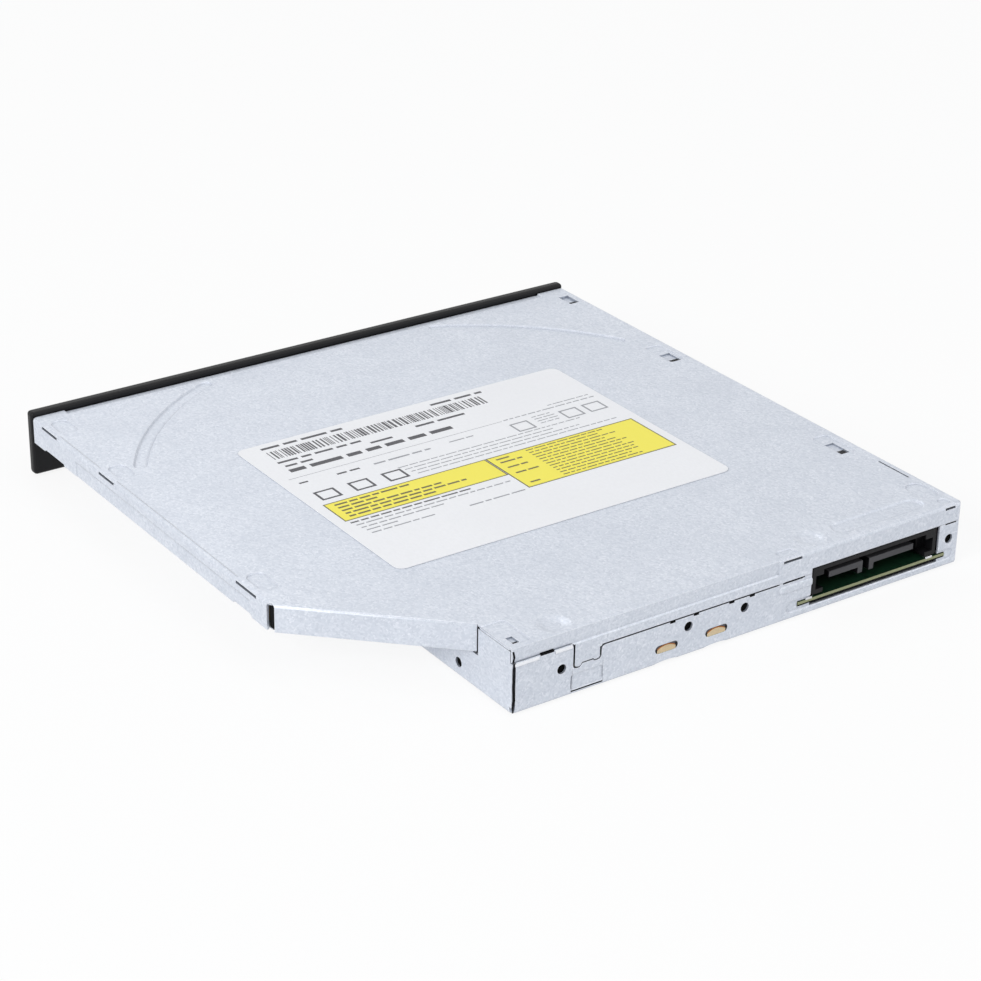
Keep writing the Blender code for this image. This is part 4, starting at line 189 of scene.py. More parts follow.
def feed(tree, socket, given):
    """Links what is given where it is a socket, or sets it where it is a colour or a number."""
    if isinstance(given, bpy.types.NodeSocket):
        tree.links.new(given, socket)
    elif isinstance(given, tuple):
        socket.default_value = (*given, 1.0)
    else:
        socket.default_value = given


def maths(tree, operation, first, second):
    made = tree.nodes.new("ShaderNodeMath")
    made.operation = operation
    feed(tree, made.inputs[0], first)
    feed(tree, made.inputs[1], second)
    return made.outputs[0]


def seen_directly(tree):
    """1 for rays of the camera, of reflections and through glass, 0 for the rest."""
    path = tree.nodes.new("ShaderNodeLightPath")
    first, second, third = (path.outputs[name] for name in
                            ("Is Camera Ray", "Is Glossy Ray", "Is Transmission Ray"))
    return maths(tree, "MAXIMUM", maths(tree, "MAXIMUM", first, second), third)


def shader(tree, kind, colour, strength=None):
    made = tree.nodes.new(kind)
    feed(tree, made.inputs["Color"], colour)
    if strength is not None:
        feed(tree, made.inputs["Strength"], strength)
    return made.outputs[0]


def show_by_share(tree, share, first, second, output_kind):
    """Puts out a mix of two shaders."""
    mix = tree.nodes.new("ShaderNodeMixShader")
    for socket, given in zip(mix.inputs, (share, first, second)):
        feed(tree, socket, given)
    output = tree.nodes.new(output_kind)
    feed(tree, output.inputs[0], mix.outputs[0])


def make_world():
    """Even light from all sides, seen as plain white."""
    world = bpy.data.worlds.new("studio")
    world.use_nodes = True
    tree = world.node_tree
    tree.nodes.clear()
    sky = shader(tree, "ShaderNodeBackground", SKY_COLOUR, DIFFUSE_SKY)
    white = shader(tree, "ShaderNodeBackground", WHITE, 1.0)
    show_by_share(tree, seen_directly(tree), sky, white, "ShaderNodeOutputWorld")
    bpy.context.scene.world = world


def make_floor():
    """A pale floor: a white glow for the background over a matte face that takes the shadow."""
    bm = bmesh.new()
    bmesh.ops.create_grid(bm, x_segments=1, y_segments=1, size=FLOOR_SIZE / 2)
    floor = object_of("floor", bm)
    floor.location = (0, 0, cad_box[0][2] - FLOOR_DROP)
    material = bpy.data.materials.new("floor")
    material.use_nodes = True
    tree = material.node_tree
    tree.nodes.clear()
    matte = shader(tree, "ShaderNodeBsdfDiffuse", FLOOR_COLOUR)
    glow = shader(tree, "ShaderNodeEmission", WHITE, 1.0)
    share = maths(tree, "MULTIPLY", seen_directly(tree), FLOOR_GLOW)
    show_by_share(tree, share, matte, glow, "ShaderNodeOutputMaterial")
    floor.data.materials.append(material)


# Materials

class Graph:
    """A material's node tree with short ways to add what the materials below share."""

    def __init__(self, name):
        self.material = bpy.data.materials.new(name)
        self.material.use_nodes = True
        self.tree = self.material.node_tree
        self.inputs = self.tree.nodes["Principled BSDF"].inputs
        self.coords = self.tree.nodes.new("ShaderNodeTexCoord")

    def put(self, socket, given):
        feed(self.tree, self.inputs[socket], given)

    def texture(self, kind, scale, stretch=(1, 1, 1), **settings):
        made = self.tree.nodes.new(kind)
        for name, setting in settings.items():
            if name in made.inputs:
                made.inputs[name].default_value = setting
            else:
                setattr(made, name, setting)
        made.inputs["Scale"].default_value = scale
        mapping = self.tree.nodes.new("ShaderNodeMapping")
        mapping.inputs["Scale"].default_value = stretch
        feed(self.tree, mapping.inputs["Vector"], self.coords.outputs["Object"])
        feed(self.tree, made.inputs["Vector"], mapping.outputs[0])
        return made

    def noise(self, scale, stretch=(1, 1, 1), detail=2.0):
        return self.texture("ShaderNodeTexNoise", scale, stretch, Detail=detail).outputs["Fac"]

    def ramp(self, source, low, high, to_low=0.0, to_high=1.0):
        """Turns low to high of the source into to_low to to_high."""
        made = self.tree.nodes.new("ShaderNodeMapRange")
        for name, given in (("From Min", low), ("From Max", high), ("To Min", to_low),
                            ("To Max", to_high), ("Value", source)):
            feed(self.tree, made.inputs[name], given)
        return made.outputs["Result"]

    def mix(self, factor, first, second):
        """Mixes two colours, each a socket or a colour, by a socket."""
        made = self.tree.nodes.new("ShaderNodeMix")
        made.data_type = "RGBA"
        for socket, given in ((made.inputs["Factor"], factor), (made.inputs[6], first),
                              (made.inputs[7], second)):
            feed(self.tree, socket, given)
        return made.outputs[2]

    def rounded(self, radius):
        """The normal with the piece's edges rounded off."""
        made = self.tree.nodes.new("ShaderNodeBevel")
        made.samples = 4
        made.inputs["Radius"].default_value = radius
        return made.outputs[0]

    def edges(self, radius, gain):
        """1 near the piece's sharp edges, 0 elsewhere."""
        geometry = self.tree.nodes.new("ShaderNodeNewGeometry")
        dot = self.tree.nodes.new("ShaderNodeVectorMath")
        dot.operation = "DOT_PRODUCT"
        feed(self.tree, dot.inputs[0], self.rounded(radius))
        feed(self.tree, dot.inputs[1], geometry.outputs["Normal"])
        return self.ramp(dot.outputs["Value"], 1.0, 1.0 - 1.0 / gain)

    def hollows(self, distance, low, high, most):
        """Painted shade: rises from 0 in the open to the given share in tight hollows."""
        made = self.tree.nodes.new("ShaderNodeAmbientOcclusion")
        made.samples = 4
        made.inputs["Distance"].default_value = distance
        return self.ramp(made.outputs["AO"], high, low, 0.0, most)

    def bump(self, source, distance, strength, radius=None):
        made = self.tree.nodes.new("ShaderNodeBump")
        made.inputs["Strength"].default_value = strength
        made.inputs["Distance"].default_value = distance
        feed(self.tree, made.inputs["Height"], source)
        if radius:
            feed(self.tree, made.inputs["Normal"], self.rounded(radius))
        self.put("Normal", made.outputs[0])


def scaled(colour, share):
    return tuple(channel * share for channel in colour)


def steel(name, colour=STEEL_COLOUR, spangle=1.0):
    """Galvanised sheet: small pale crystals, a faint cloudiness, a painted highlight along the edges and
    painted shade in tight hollows.
    """
    graph = Graph(name)
    crystals = graph.texture("ShaderNodeTexVoronoi", 2600.0, (1.0, 0.7, 1.0))
    fine = graph.noise(2100.0, detail=3.0)
    cloud = graph.noise(95.0, detail=4.0)
    split = graph.tree.nodes.new("ShaderNodeSeparateColor")
    feed(graph.tree, split.inputs[0], crystals.outputs["Color"])
    pale, dark, gloss = split.outputs
    tone = graph.mix(graph.ramp(pale, 0.0, 1.0, 0.0, 0.55 * spangle), colour, STEEL_FLECK)
    tone = graph.mix(graph.ramp(dark, 0.55, 1.0, 0.0, 0.55 * spangle), tone, STEEL_SHADE)
    tone = graph.mix(graph.ramp(fine, 0.56, 0.68, 0.0, 0.95 * spangle), tone, STEEL_FLECK)
    tone = graph.mix(graph.ramp(cloud, 0.35, 0.65, 0.0, 0.22), tone, STEEL_SHADE)
    # Painted highlight: lighter colour along the sharp edges
    tone = graph.mix(graph.edges(0.00022, 4.0), tone, STEEL_EDGE_HIGHLIGHT)
    # Painted shade: darker colour in tight hollows, from ambient occlusion
    tone = graph.mix(graph.hollows(0.0007, 0.55, 0.97, 0.8), tone, STEEL_HOLLOW_SHADE)
    graph.put("Base Color", tone)
    graph.put("Metallic", 0.42)
    graph.put("Roughness", graph.ramp(gloss, 0.0, 1.0, 0.32, 0.48))
    graph.bump(fine, 0.000006, 0.5, radius=0.00012)
    return graph.material


def bright_metal(name, colour=BRIGHT_COLOUR):
    """Plated or turned metal with fine streaks."""
    graph = Graph(name)
    streak = graph.noise(600.0, (1.0, 0.1, 1.0), 4.0)
    tone = graph.mix(graph.ramp(streak, 0.3, 0.7, 0.0, 0.3), colour, scaled(colour, 0.7))
    # Painted highlight: lighter colour along the sharp edges
    graph.put("Base Color", graph.mix(graph.edges(0.0001, 4.0), tone, STEEL_EDGE_HIGHLIGHT))
    graph.put("Metallic", 1.0)
    graph.put("Roughness", graph.ramp(streak, 0.3, 0.7, 0.18, 0.32))
    graph.bump(streak, 0.000003, 0.4, radius=0.00008)
    return graph.material


def moulded(name, colour, roughness, grain=0.00001, specular=0.3):
    """Moulded plastic with a fine spark-eroded grain."""
    graph = Graph(name)
    graph.put("Specular IOR Level", specular)
    grains = graph.noise(3800.0, detail=2.0)
    broad = graph.noise(140.0, detail=3.0)
    light = tuple(min(channel * 1.6 + 0.004, 1.0) for channel in colour)
    tone = graph.mix(graph.ramp(broad, 0.3, 0.7, 0.0, 0.35), colour, light)
    tone = graph.mix(graph.ramp(grains, 0.4, 0.8, 0.0, 0.3), tone, light)
    # Painted highlight: lighter colour along the sharp edges
    graph.put("Base Color", graph.mix(graph.edges(0.00012, 5.0), tone, light))
    graph.put("Roughness", graph.ramp(grains, 0.3, 0.7, roughness - 0.06, roughness + 0.08))
    graph.bump(grains, grain, 0.6, radius=0.00015)
    return graph.material


def shadow(name, colour, roughness, specular=0.3):
    """Painted shade: a dark piece in a seam, gap or hole."""
    return moulded(name, colour, roughness, specular=specular)


def paper(name):
    graph = Graph(name)
    fibres = graph.noise(2400.0, (1.0, 0.5, 1.0), 4.0)
    broad = graph.noise(60.0, detail=3.0)
    shaded = scaled(PAPER_COLOUR, 0.93)
    tone = graph.mix(graph.ramp(fibres, 0.35, 0.75, 0.0, 0.5), PAPER_COLOUR, shaded)
    graph.put("Base Color", graph.mix(graph.ramp(broad, 0.35, 0.7, 0.0, 0.3), tone, shaded))
    graph.put("Specular IOR Level", 0.35)
    graph.put("Roughness", graph.ramp(fibres, 0.3, 0.7, 0.5, 0.62))
    graph.bump(fibres, 0.000004, 0.4)
    return graph.material


def ink(name, colour, fade=0.25):
    """Print with slightly uneven cover."""
    graph = Graph(name)
    cover = graph.noise(5200.0, detail=3.0)
    light = tuple(channel + (paper_channel - channel) * 0.45
                  for channel, paper_channel in zip(colour, PAPER_COLOUR))
    graph.put("Base Color", graph.mix(graph.ramp(cover, 0.45, 0.75, 0.0, fade), colour, light))
    graph.put("Roughness", graph.ramp(cover, 0.3, 0.7, 0.42, 0.56))
    return graph.material


def circuit_board(name):
    """Green solder mask over traces, with the bare laminate at the edges."""
    graph = Graph(name)
    traces = graph.texture("ShaderNodeTexVoronoi", 620.0, distance="MANHATTAN", feature="F1")
    edge = graph.ramp(traces.outputs["Distance"], 0.40, 0.46)
    weave = graph.noise(2600.0, detail=2.0)
    tone = graph.mix(edge, BOARD_COLOUR, BOARD_TRACE)
    tone = graph.mix(graph.ramp(weave, 0.35, 0.7, 0.0, 0.25), tone, BOARD_TRACE)
    split = graph.tree.nodes.new("ShaderNodeSeparateXYZ")
    feed(graph.tree, split.inputs[0], graph.coords.outputs["Normal"])
    side = graph.ramp(maths(graph.tree, "ABSOLUTE", split.outputs["Z"], 0.0), 0.6, 0.4)
    laminate = graph.mix(graph.ramp(weave, 0.3, 0.7, 0.0, 0.5), BOARD_EDGE, scaled(BOARD_EDGE, 0.75))
    graph.put("Base Color", graph.mix(side, tone, laminate))
    graph.put("Roughness", graph.ramp(side, 0.0, 1.0, 0.28, 0.65))
    graph.bump(edge, 0.00001, 0.5)
    return graph.material


def film(name):
    """A flat cable: parallel traces under an amber film."""
    graph = Graph(name)
    traces = graph.texture("ShaderNodeTexWave", 320.0, bands_direction="X").outputs["Fac"]
    graph.put("Base Color", graph.mix(graph.ramp(traces, 0.4, 0.6), FILM_COLOUR, FILM_TRACE))
    graph.put("Metallic", 0.25)
    graph.put("Roughness", graph.ramp(traces, 0.4, 0.6, 0.3, 0.4))
    graph.bump(traces, 0.00001, 0.4)
    return graph.material


def clear_lens(name):
    """Glass with a faintly tinted coating."""
    graph = Graph(name)
    coat = graph.noise(300.0, detail=1.0)
    graph.put("Base Color", graph.mix(graph.ramp(coat, 0.3, 0.7), *LENS_COLOURS))
    graph.put("Transmission Weight", 0.85)
    graph.put("Roughness", 0.03)
    graph.put("Coat Weight", 0.6)
    return graph.material


def rubber(name):
    graph = Graph(name)
    grain = graph.noise(2600.0, detail=4.0)
    dusty = scaled(RUBBER_COLOUR, 2.2)
    graph.put("Base Color", graph.mix(graph.ramp(grain, 0.35, 0.7), RUBBER_COLOUR, dusty))
    graph.put("Roughness", graph.ramp(grain, 0.3, 0.7, 0.72, 0.9))
    graph.bump(grain, 0.00001, 0.6)
    return graph.material


def lamp_plastic(name):
    graph = Graph(name)
    clouds = graph.noise(900.0, detail=2.0)
    graph.put("Base Color", graph.mix(graph.ramp(clouds, 0.3, 0.7), *LED_COLOURS))
    graph.put("Transmission Weight", 0.3)
    graph.put("Roughness", graph.ramp(clouds, 0.3, 0.7, 0.15, 0.25))
    return graph.material


finishes = {
    "steel": steel("steel"),
    "bright_steel": bright_metal("bright_steel"),
    "label_paper": paper("label_paper"),
    "black_plastic": moulded("black_plastic", BLACK_COLOUR, 0.36, specular=0.18),
    "grey_plastic": moulded("grey_plastic", GREY_COLOUR, 0.48),
    "beige_plastic": moulded("beige_plastic", BEIGE_COLOUR, 0.50),
    "board_green": circuit_board("board_green"),
    "black_paint": moulded("black_paint", PAINT_COLOUR, 0.42, 0.000006, specular=0.2),
    "rubber": rubber("rubber"),
    "copper_film": film("copper_film"),
    "clear_lens": clear_lens("clear_lens"),
    "led_plastic": lamp_plastic("led_plastic"),
}


def dress_nodes():
    for part in frame["record"]["subparts"]:
        mesh = nodes[part["node"]].data
        mesh.materials.clear()
        mesh.materials.append(finishes[part["material_slot"]])
        mesh.shade_smooth()
        mesh.set_sharp_from_angle(angle=math.radians(SHARP_ANGLE))


# Pieces, in mm

def object_of(name, bm):
    mesh = bpy.data.meshes.new(name)
    bm.to_mesh(mesh)
    bm.free()
    made = bpy.data.objects.new(name, mesh)
    bpy.context.scene.collection.objects.link(made)
    return made


def dressed(name, bm, material):
    """An object in one material, with its faces turned outwards."""
    bmesh.ops.recalc_face_normals(bm, faces=bm.faces)
    made = object_of(name, bm)
    made.data.materials.append(material)
    return made


def piece(name, bm, slot, material=None, body="case"):
    """A piece in the slot's finish, or in a material of its own, that moves with a body."""
    made = dressed(name, bm, material or finishes[slot])
    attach(made, body)


def around(middle, half):
    return (middle - half, middle + half)


def add_loft(bm, rings):
    """A closed tube through rings of points."""
    rows = [[bm.verts.new([value * MM for value in point]) for point in ring] for ring in rings]
    bm.faces.new(rows[0])
    bm.faces.new(list(reversed(rows[-1])))
    for first, second in zip(rows, rows[1:]):
        for index in range(len(first)):
            after = (index + 1) % len(first)
            bm.faces.new((first[index], first[after], second[after], second[index]))


def add_prism(bm, outline, near, far, place):
    """A closed prism of an outline; place turns (a, b, depth) into a point."""
    add_loft(bm, [[place(a, b, depth) for a, b in outline] for depth in (near, far)])


def along_x(y, z, depth):
    return (depth, y, z)


def along_y(x, z, depth):
    return (x, depth, z)


def add_block(bm, x, y, z):
    """A box between two places on each axis."""
    spans = [(first * MM, second * MM) for first, second in (x, y, z)]
    middle = Matrix.Translation([(first + second) / 2 for first, second in spans])
    size = Matrix.Diagonal([abs(second - first) for first, second in spans] + [1.0])
    bmesh.ops.create_cube(bm, size=1.0, matrix=middle @ size)


def circle(a, b, radius, count=24):
    return [(a + radius * math.cos(2 * math.pi * index / count),
             b + radius * math.sin(2 * math.pi * index / count)) for index in range(count)]


# Label print, as the label is read: left is towards +X and top towards -Y

LABEL_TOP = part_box("label")[1].z / MM
PRINT_HEIGHT = 0.012
PRINT_SINK = 0.004
DASH_SHORTEST = 1.3
DASH_SPREAD = 3.2
DASH_GAP = 0.55
THIN = 0.42
BAR_WIDTH = 0.19
BARS = (34.1, -14.9, -24.4, -20.9)
RULE = (36.5, -12.0, -12.05, -11.93)

# Rows of dashes: ink, left, right, line, height and the dashes' share of it
HEAD_ROWS = (("dark", 34.2, 14.7, -26.1, 1.7, 0.45), ("dark", -4.5, -16.7, -26.0, 1.6, 0.45),
             ("dark", 34.5, 14.0, -19.3, 1.5, 0.45), ("dark", 3.5, -9.0, -19.1, 1.6, 0.45),
             ("dark", 34.0, 28.0, -17.3, 1.5, 0.45), ("dark", 14.9, 7.9, -17.5, 1.5, 0.45))
TITLE_ROWS = (("dark", 34.35, -4.2, -15.1, 2.1, 0.62),)
BODY_ROWS = (("soft", -12.5, -34.5, -12.1, 0.7, THIN), ("soft", -24.0, -34.0, -13.4, 0.6, THIN),
             ("dark", 35.6, 33.0, -9.6, 1.2, THIN), ("dark", 27.6, 22.6, -9.2, 1.3, THIN),
             ("soft", 19.4, 6.6, -9.2, 1.2, THIN), ("soft", 2.0, -3.6, -9.6, 0.8, THIN),
             *(("soft", -18.0, -23.0, -10.4 + index * 1.05, 0.6, THIN) for index in range(4)),
             *(("soft", left, right, -5.3 + index * 1.3, 0.62, THIN) for index, (left, right) in
               enumerate(((16.6, -26.0), (15.8, -19.0), (15.2, -24.0), (14.6, -33.0)))))
FIELD_ROWS = (*(("olive", 34.9, right, line, 0.85, 0.62) for line, right in
                ((1.75, 18.0), (3.05, 26.5), (4.35, 12.8), (5.65, 8.4), (6.95, 15.2))),
              *(("olive", -1.0, right, line, 0.8, 0.6) for line, right in
                ((1.9, -4.6), (3.4, -6.0), (5.8, -5.6), (8.5, -6.2), (13.2, -3.6))))
FOOT_ROWS = (("dark", 36.2, 10.0, 9.4, 0.8, 0.55), ("soft", 35.8, 1.6, 10.7, 0.8, THIN),
             ("soft", 35.5, 17.0, 12.0, 0.8, THIN), ("soft", 35.2, 27.6, 13.3, 0.8, THIN),
             ("soft", 35.0, 20.4, 14.7, 0.8, THIN), ("soft", 14.1, 1.7, 15.2, 0.9, THIN))
FINE_ROWS = 12
FINE_LEFT = -8.2
FINE_LONGEST = -28.5
FINE_SPREAD = 4.0
FINE_TOP = 1.5
FINE_STEP = 1.12
FINE_HEIGHT = 0.6
FINE_WEIGHT = 0.5

# Frames: ink, left, right, top, bottom, width
FRAMES = (*(("dark", left, left - 4.4, -4.9, -1.1, 0.5) for left in (35.6, 28.2, 20.8)),
          *(("soft", left, left - 4.2, -9.9, -6.1, 0.4) for left in (-12.2, -24.0, -29.6)),
          ("olive", 36.7, 0.7, 0.5, 8.4, 0.24), ("olive", 0.6, -34.3, 0.5, 15.0, 0.26))
FIELDS = ((36.6, 0.8, 0.6, 8.3), (0.4, -34.2, 0.6, 14.9))


def print_box(bm, left, right, top, bottom):
    add_block(bm, (right, left), (top, bottom), (LABEL_TOP - PRINT_SINK, LABEL_TOP + PRINT_HEIGHT))


def print_frame(bm, left, right, top, bottom, width):
    print_box(bm, left, right, top, top + width)
    print_box(bm, left, right, bottom - width, bottom)
    print_box(bm, left, left - width, top + width, bottom - width)
    print_box(bm, right + width, right, top + width, bottom - width)


def print_row(bm, left, right, line, height, weight, draw):
    """A row of plain dashes, which stands for a line of print."""
    x = left
    low = line + height * weight / 2
    while x - height > right:
        length = min(height * (DASH_SHORTEST + DASH_SPREAD * draw.random()), x - right)
        print_box(bm, x, x - length, low - height * weight, low)
        x -= length + height * DASH_GAP


def print_bars(bm, left, right, top, bottom, draw):
    """Upright bars of three widths, as on a stock label."""
    x = left
    while x > right:
        width = BAR_WIDTH * draw.choice((1, 1, 1, 2, 2, 3))
        print_box(bm, x, max(x - width, right), top, bottom)
        x -= width + BAR_WIDTH * draw.choice((1, 1, 2, 2, 3))


def make_label_print():
    draw = random.Random(7)
    inks = {name: bmesh.new() for name in ("dark", "soft", "yellow", "olive")}

    def print_rows(rows):
        for name, *row in rows:
            print_row(inks[name], *row, draw)

    print_rows(HEAD_ROWS)
    print_bars(inks["dark"], *BARS, draw)
    print_rows(TITLE_ROWS)
    print_box(inks["soft"], *RULE)
    print_rows(BODY_ROWS)
    for name, *sides in FRAMES:
        print_frame(inks[name], *sides)
    for field in FIELDS:
        print_box(inks["yellow"], *field)
    print_rows(FIELD_ROWS)
    for index in range(FINE_ROWS):
        end = FINE_LONGEST + FINE_SPREAD * draw.random()
        line = FINE_TOP + index * FINE_STEP
        print_row(inks["olive"], FINE_LEFT, end, line, FINE_HEIGHT, FINE_WEIGHT, draw)
    print_rows(FOOT_ROWS)
    bmesh.ops.translate(inks["olive"], verts=inks["olive"].verts, vec=(0, 0, PRINT_HEIGHT * MM))
    piece("print_yellow", inks["yellow"], "label_paper", ink("ink_yellow", INK_YELLOW, 0.12))
    piece("print_dark", inks["dark"], "label_paper", ink("ink_dark", INK_DARK))
    piece("print_soft", inks["soft"], "label_paper", ink("ink_soft", INK_SOFT))
    piece("print_olive", inks["olive"], "label_paper", ink("ink_olive", INK_OLIVE))


# Rear wall: what shows in its windows, holes and seams

REAR_FACE = 63.05
STEP_FACE = 38.0985


def behind(deep, shallow):
    """From deep to shallow behind the rear face."""
    return (REAR_FACE - deep, REAR_FACE - shallow)


WINDOW_MIDDLES = (5.3, -5.8)
PLATE_HALF = 2.3
PLATE_Y = behind(0.5, 0.14)
PLATE_Z = (2.28, 3.72)
TAB_HALF = 2.05
TAB_FOOT_HALF = 2.0
TAB_LOW = 2.25
TAB_SIDE = 0.60
TAB_RISE = 0.62
TAB_Y = behind(0.65, 0.02)
TAB_EDGE = 0.2
TAB_EDGE_Y = behind(0.6, 0.04)
END_REACH = (2.47, 1.95)
END_Y = behind(0.6, 0.03)
END_HEIGHTS = ((1, 2.35, 3.0), (-1, 2.45, 3.3))

HOLE_MIDDLES = (27.8485, 0.58, -12.06, -61.09)
HOLE_Y = behind(1.1, 0.5)
HOLE_Z = 5.7
HOLE_RADIUS = 1.0
SIDE_HOLE = (47.16, 2.71)
SIDE_HOLE_X = (STEP_FACE - 0.9, STEP_FACE - 0.4)

CORNER_SEAM_INSETS = (0.40, 0.06)
CORNER_SEAM_Y = behind(0.02, -0.015)
CORNER_SEAM_Z = (0.35, 9.85)
CORNER_SEAM_STEPS = 16
CORNER_SEAM_SHIFT = 0.16
WIDER_SHIFT = 0.22
WIDER_MIDDLE = 3.3
WIDER_HALF = 0.7
WIDER_TOP = 8.8
LIP_SEAM_Y = behind(0.27, 0.235)
LIP_SEAM = ((0.50, 9.95), (0.72, 10.8), (0.45, 12.0), (0.10, 12.0), (0.30, 10.8), (0.10, 9.95))

BEND_PROFILE = ((-0.12, 9.02), (0.10, 9.12), (0.12, 9.30), (-0.02, 9.80), (-0.12, 9.90))
BEND_XS = ((25.7, 29.3), (32.6, 37.6))
BOARD_TAB_XS = ((-27.9, -26.4), (-57.2, -55.6))
BOARD_TAB_Y = (62.1, 63.03)
BOARD_TAB_Z = (2.9, 3.3)


def arch(middle, count=10):
    """The upper edge of an arched tab, from its right end to its left."""
    points = []
    for index in range(count + 1):
        share = 1 - 2 * index / count
        points.append((middle + TAB_HALF * share, TAB_LOW + TAB_SIDE + TAB_RISE * (1 - share ** 2)))
    return points


def make_windows():
    """The wall's two windows: an arched tan tab with a brown edge between dark ends."""
    plate, tan, brown, ends = (bmesh.new() for _ in range(4))
    for middle in WINDOW_MIDDLES:
        add_block(plate, around(middle, PLATE_HALF), PLATE_Y, PLATE_Z)
        top = arch(middle)
        foot_left, foot_right = around(middle, TAB_FOOT_HALF)
        add_prism(tan, [(foot_right, TAB_LOW)] + top + [(foot_left, TAB_LOW)], *TAB_Y, along_y)
        over = [(x, z + TAB_EDGE) for x, z in top]
        add_prism(brown, over + list(reversed(top)), *TAB_EDGE_Y, along_y)
        for side, low, high in END_HEIGHTS:
            add_block(ends, [middle + side * reach for reach in END_REACH], END_Y, (low, high))
    piece("window_plates", plate, "steel", shadow("window_shade", WINDOW_SHADE, 0.6))
    piece("window_tabs", tan, "beige_plastic", moulded("tan_tab", TAN_COLOUR, 0.45))
    piece("window_lines", brown, "copper_film", moulded("brown_line", BROWN_COLOUR, 0.4))
    piece("window_ends", ends, "black_plastic")


def make_hole_shade_discs():
    """Dark discs in the screw holes, painted shade."""
    bm = bmesh.new()
    for middle in HOLE_MIDDLES:
        add_prism(bm, circle(middle, HOLE_Z, HOLE_RADIUS), *HOLE_Y, along_y)
    add_prism(bm, circle(*SIDE_HOLE, HOLE_RADIUS), *SIDE_HOLE_X, along_x)
    piece("hole_shade_discs", bm, "black_paint", shadow("painted_hole_shade", HOLE_SHADE, 0.9, 0.05))


def make_corner_seam():
    """The dark, uneven seam where the tall wall meets the rear wall."""
    bm = bmesh.new()
    draw = random.Random(3)
    left = []
    right = []
    low, high = CORNER_SEAM_Z
    for index in range(CORNER_SEAM_STEPS + 1):
        height = low + (high - low) * index / CORNER_SEAM_STEPS
        shift = CORNER_SEAM_SHIFT * draw.random()
        if abs(height - WIDER_MIDDLE) < WIDER_HALF or height > WIDER_TOP:
            shift += WIDER_SHIFT
        left.append((STEP_FACE - CORNER_SEAM_INSETS[0] - shift, height))
        right.append((STEP_FACE - CORNER_SEAM_INSETS[1] - shift / 2, height))
    add_prism(bm, left + list(reversed(right)), *CORNER_SEAM_Y, along_y)
    add_prism(bm, [(STEP_FACE - inset, z) for inset, z in LIP_SEAM], *LIP_SEAM_Y, along_y)
    piece("corner_seam", bm, "black_paint", shadow("seam_dark", SEAM_SHADE, 0.8, 0.1))


def make_wall_bend():
    """The rounded bend along the rear wall's upper edge, its much lighter steel a painted highlight, with
    the board's silver tabs.
    """
    bend = bmesh.new()
    for near, far in BEND_XS:
        add_prism(bend, [(REAR_FACE + y, z) for y, z in BEND_PROFILE], near, far, along_x)
    piece("wall_bend", bend, "steel", steel("steel_bend_highlight", BEND_HIGHLIGHT_COLOUR, 0.2))
    tabs = bmesh.new()
    for x in BOARD_TAB_XS:
        add_block(tabs, x, BOARD_TAB_Y, BOARD_TAB_Z)
    piece("board_tabs", tabs, "bright_steel")


# Connector tongues: span and key

TONGUES = (((-40.7, -32.6), (-40.7, -39.6)), ((-53.1, -42.3), (-43.4, -42.3)))
TONGUE_TOP_Y = (57.4, 61.9)
TONGUE_TOP_Z = (6.40, 6.48)
TONGUE_END_Y = (61.9, 62.0)
TONGUE_END_Z = (5.33, 6.48)
KEY_Z = (4.1, 5.33)
CONTACT_ROWS = ((-39.2, 6), (-52.2, 7))
CONTACT_PITCH = 1.0
CONTACT_WIDTH = 0.5
CONTACT_Y = (57.6, 61.6)
CONTACT_Z = (5.30, 5.40)


def make_tongues():
    """The paler faces of the connector's two tongues and their keys, and the gold contacts."""
    bm = bmesh.new()
    for span, key in TONGUES:
        add_block(bm, span, TONGUE_END_Y, TONGUE_END_Z)
        add_block(bm, span, TONGUE_TOP_Y, TONGUE_TOP_Z)
        add_block(bm, key, TONGUE_END_Y, KEY_Z)
    piece("tongue_faces", bm, "grey_plastic")
    gold = bmesh.new()
    for start, count in CONTACT_ROWS:
        for index in range(count):
            left = start + index * CONTACT_PITCH
            add_block(gold, (left, left + CONTACT_WIDTH), CONTACT_Y, CONTACT_Z)
    piece("contacts", gold, "bright_steel", bright_metal("gold", GOLD_COLOUR))


# Small parts on the boards under the tray

BOARD_TOP = 4.10
BUTTON_BOARD_TOP = 3.80
CHIP_PARTS = (*((9.2, 30.0 + 1.9 * index) for index in range(7)),
              *((11.0 + 2.1 * index, 45.0) for index in range(6)),
              *((12.5 + 2.2 * index, 25.4) for index in range(6)),
              *((-7.0 + 2.0 * index, 46.0) for index in range(5)))
BUTTON_PARTS = ((12.0, -57.2), (14.2, -57.2), (16.4, -57.2), (25.6, -56.2))
COILS = ((3.4, 41.6), (-2.0, 42.2), (28.0, 26.5))
CHIP_HALVES = (0.5, 0.25)
CHIP_HEIGHT = 0.45
COIL_HALVES = (1.3, 1.3)
COIL_HEIGHT = 1.0
SOLDER_SINK = 0.02


def add_parts(bm, places, halves, top, height):
    for x, y in places:
        add_block(bm, around(x, halves[0]), around(y, halves[1]), (top - SOLDER_SINK, top + height))


def make_board_parts():
    ceramic = bmesh.new()
    add_parts(ceramic, CHIP_PARTS, CHIP_HALVES, BOARD_TOP, CHIP_HEIGHT)
    add_parts(ceramic, BUTTON_PARTS, CHIP_HALVES, BUTTON_BOARD_TOP, CHIP_HEIGHT)
    piece("board_chips", ceramic, "beige_plastic", moulded("ceramic", CERAMIC_COLOUR, 0.4), "tray")
    coils = bmesh.new()
    add_parts(coils, COILS, COIL_HALVES, BOARD_TOP, COIL_HEIGHT)
    piece("board_coils", coils, "grey_plastic", body="tray")
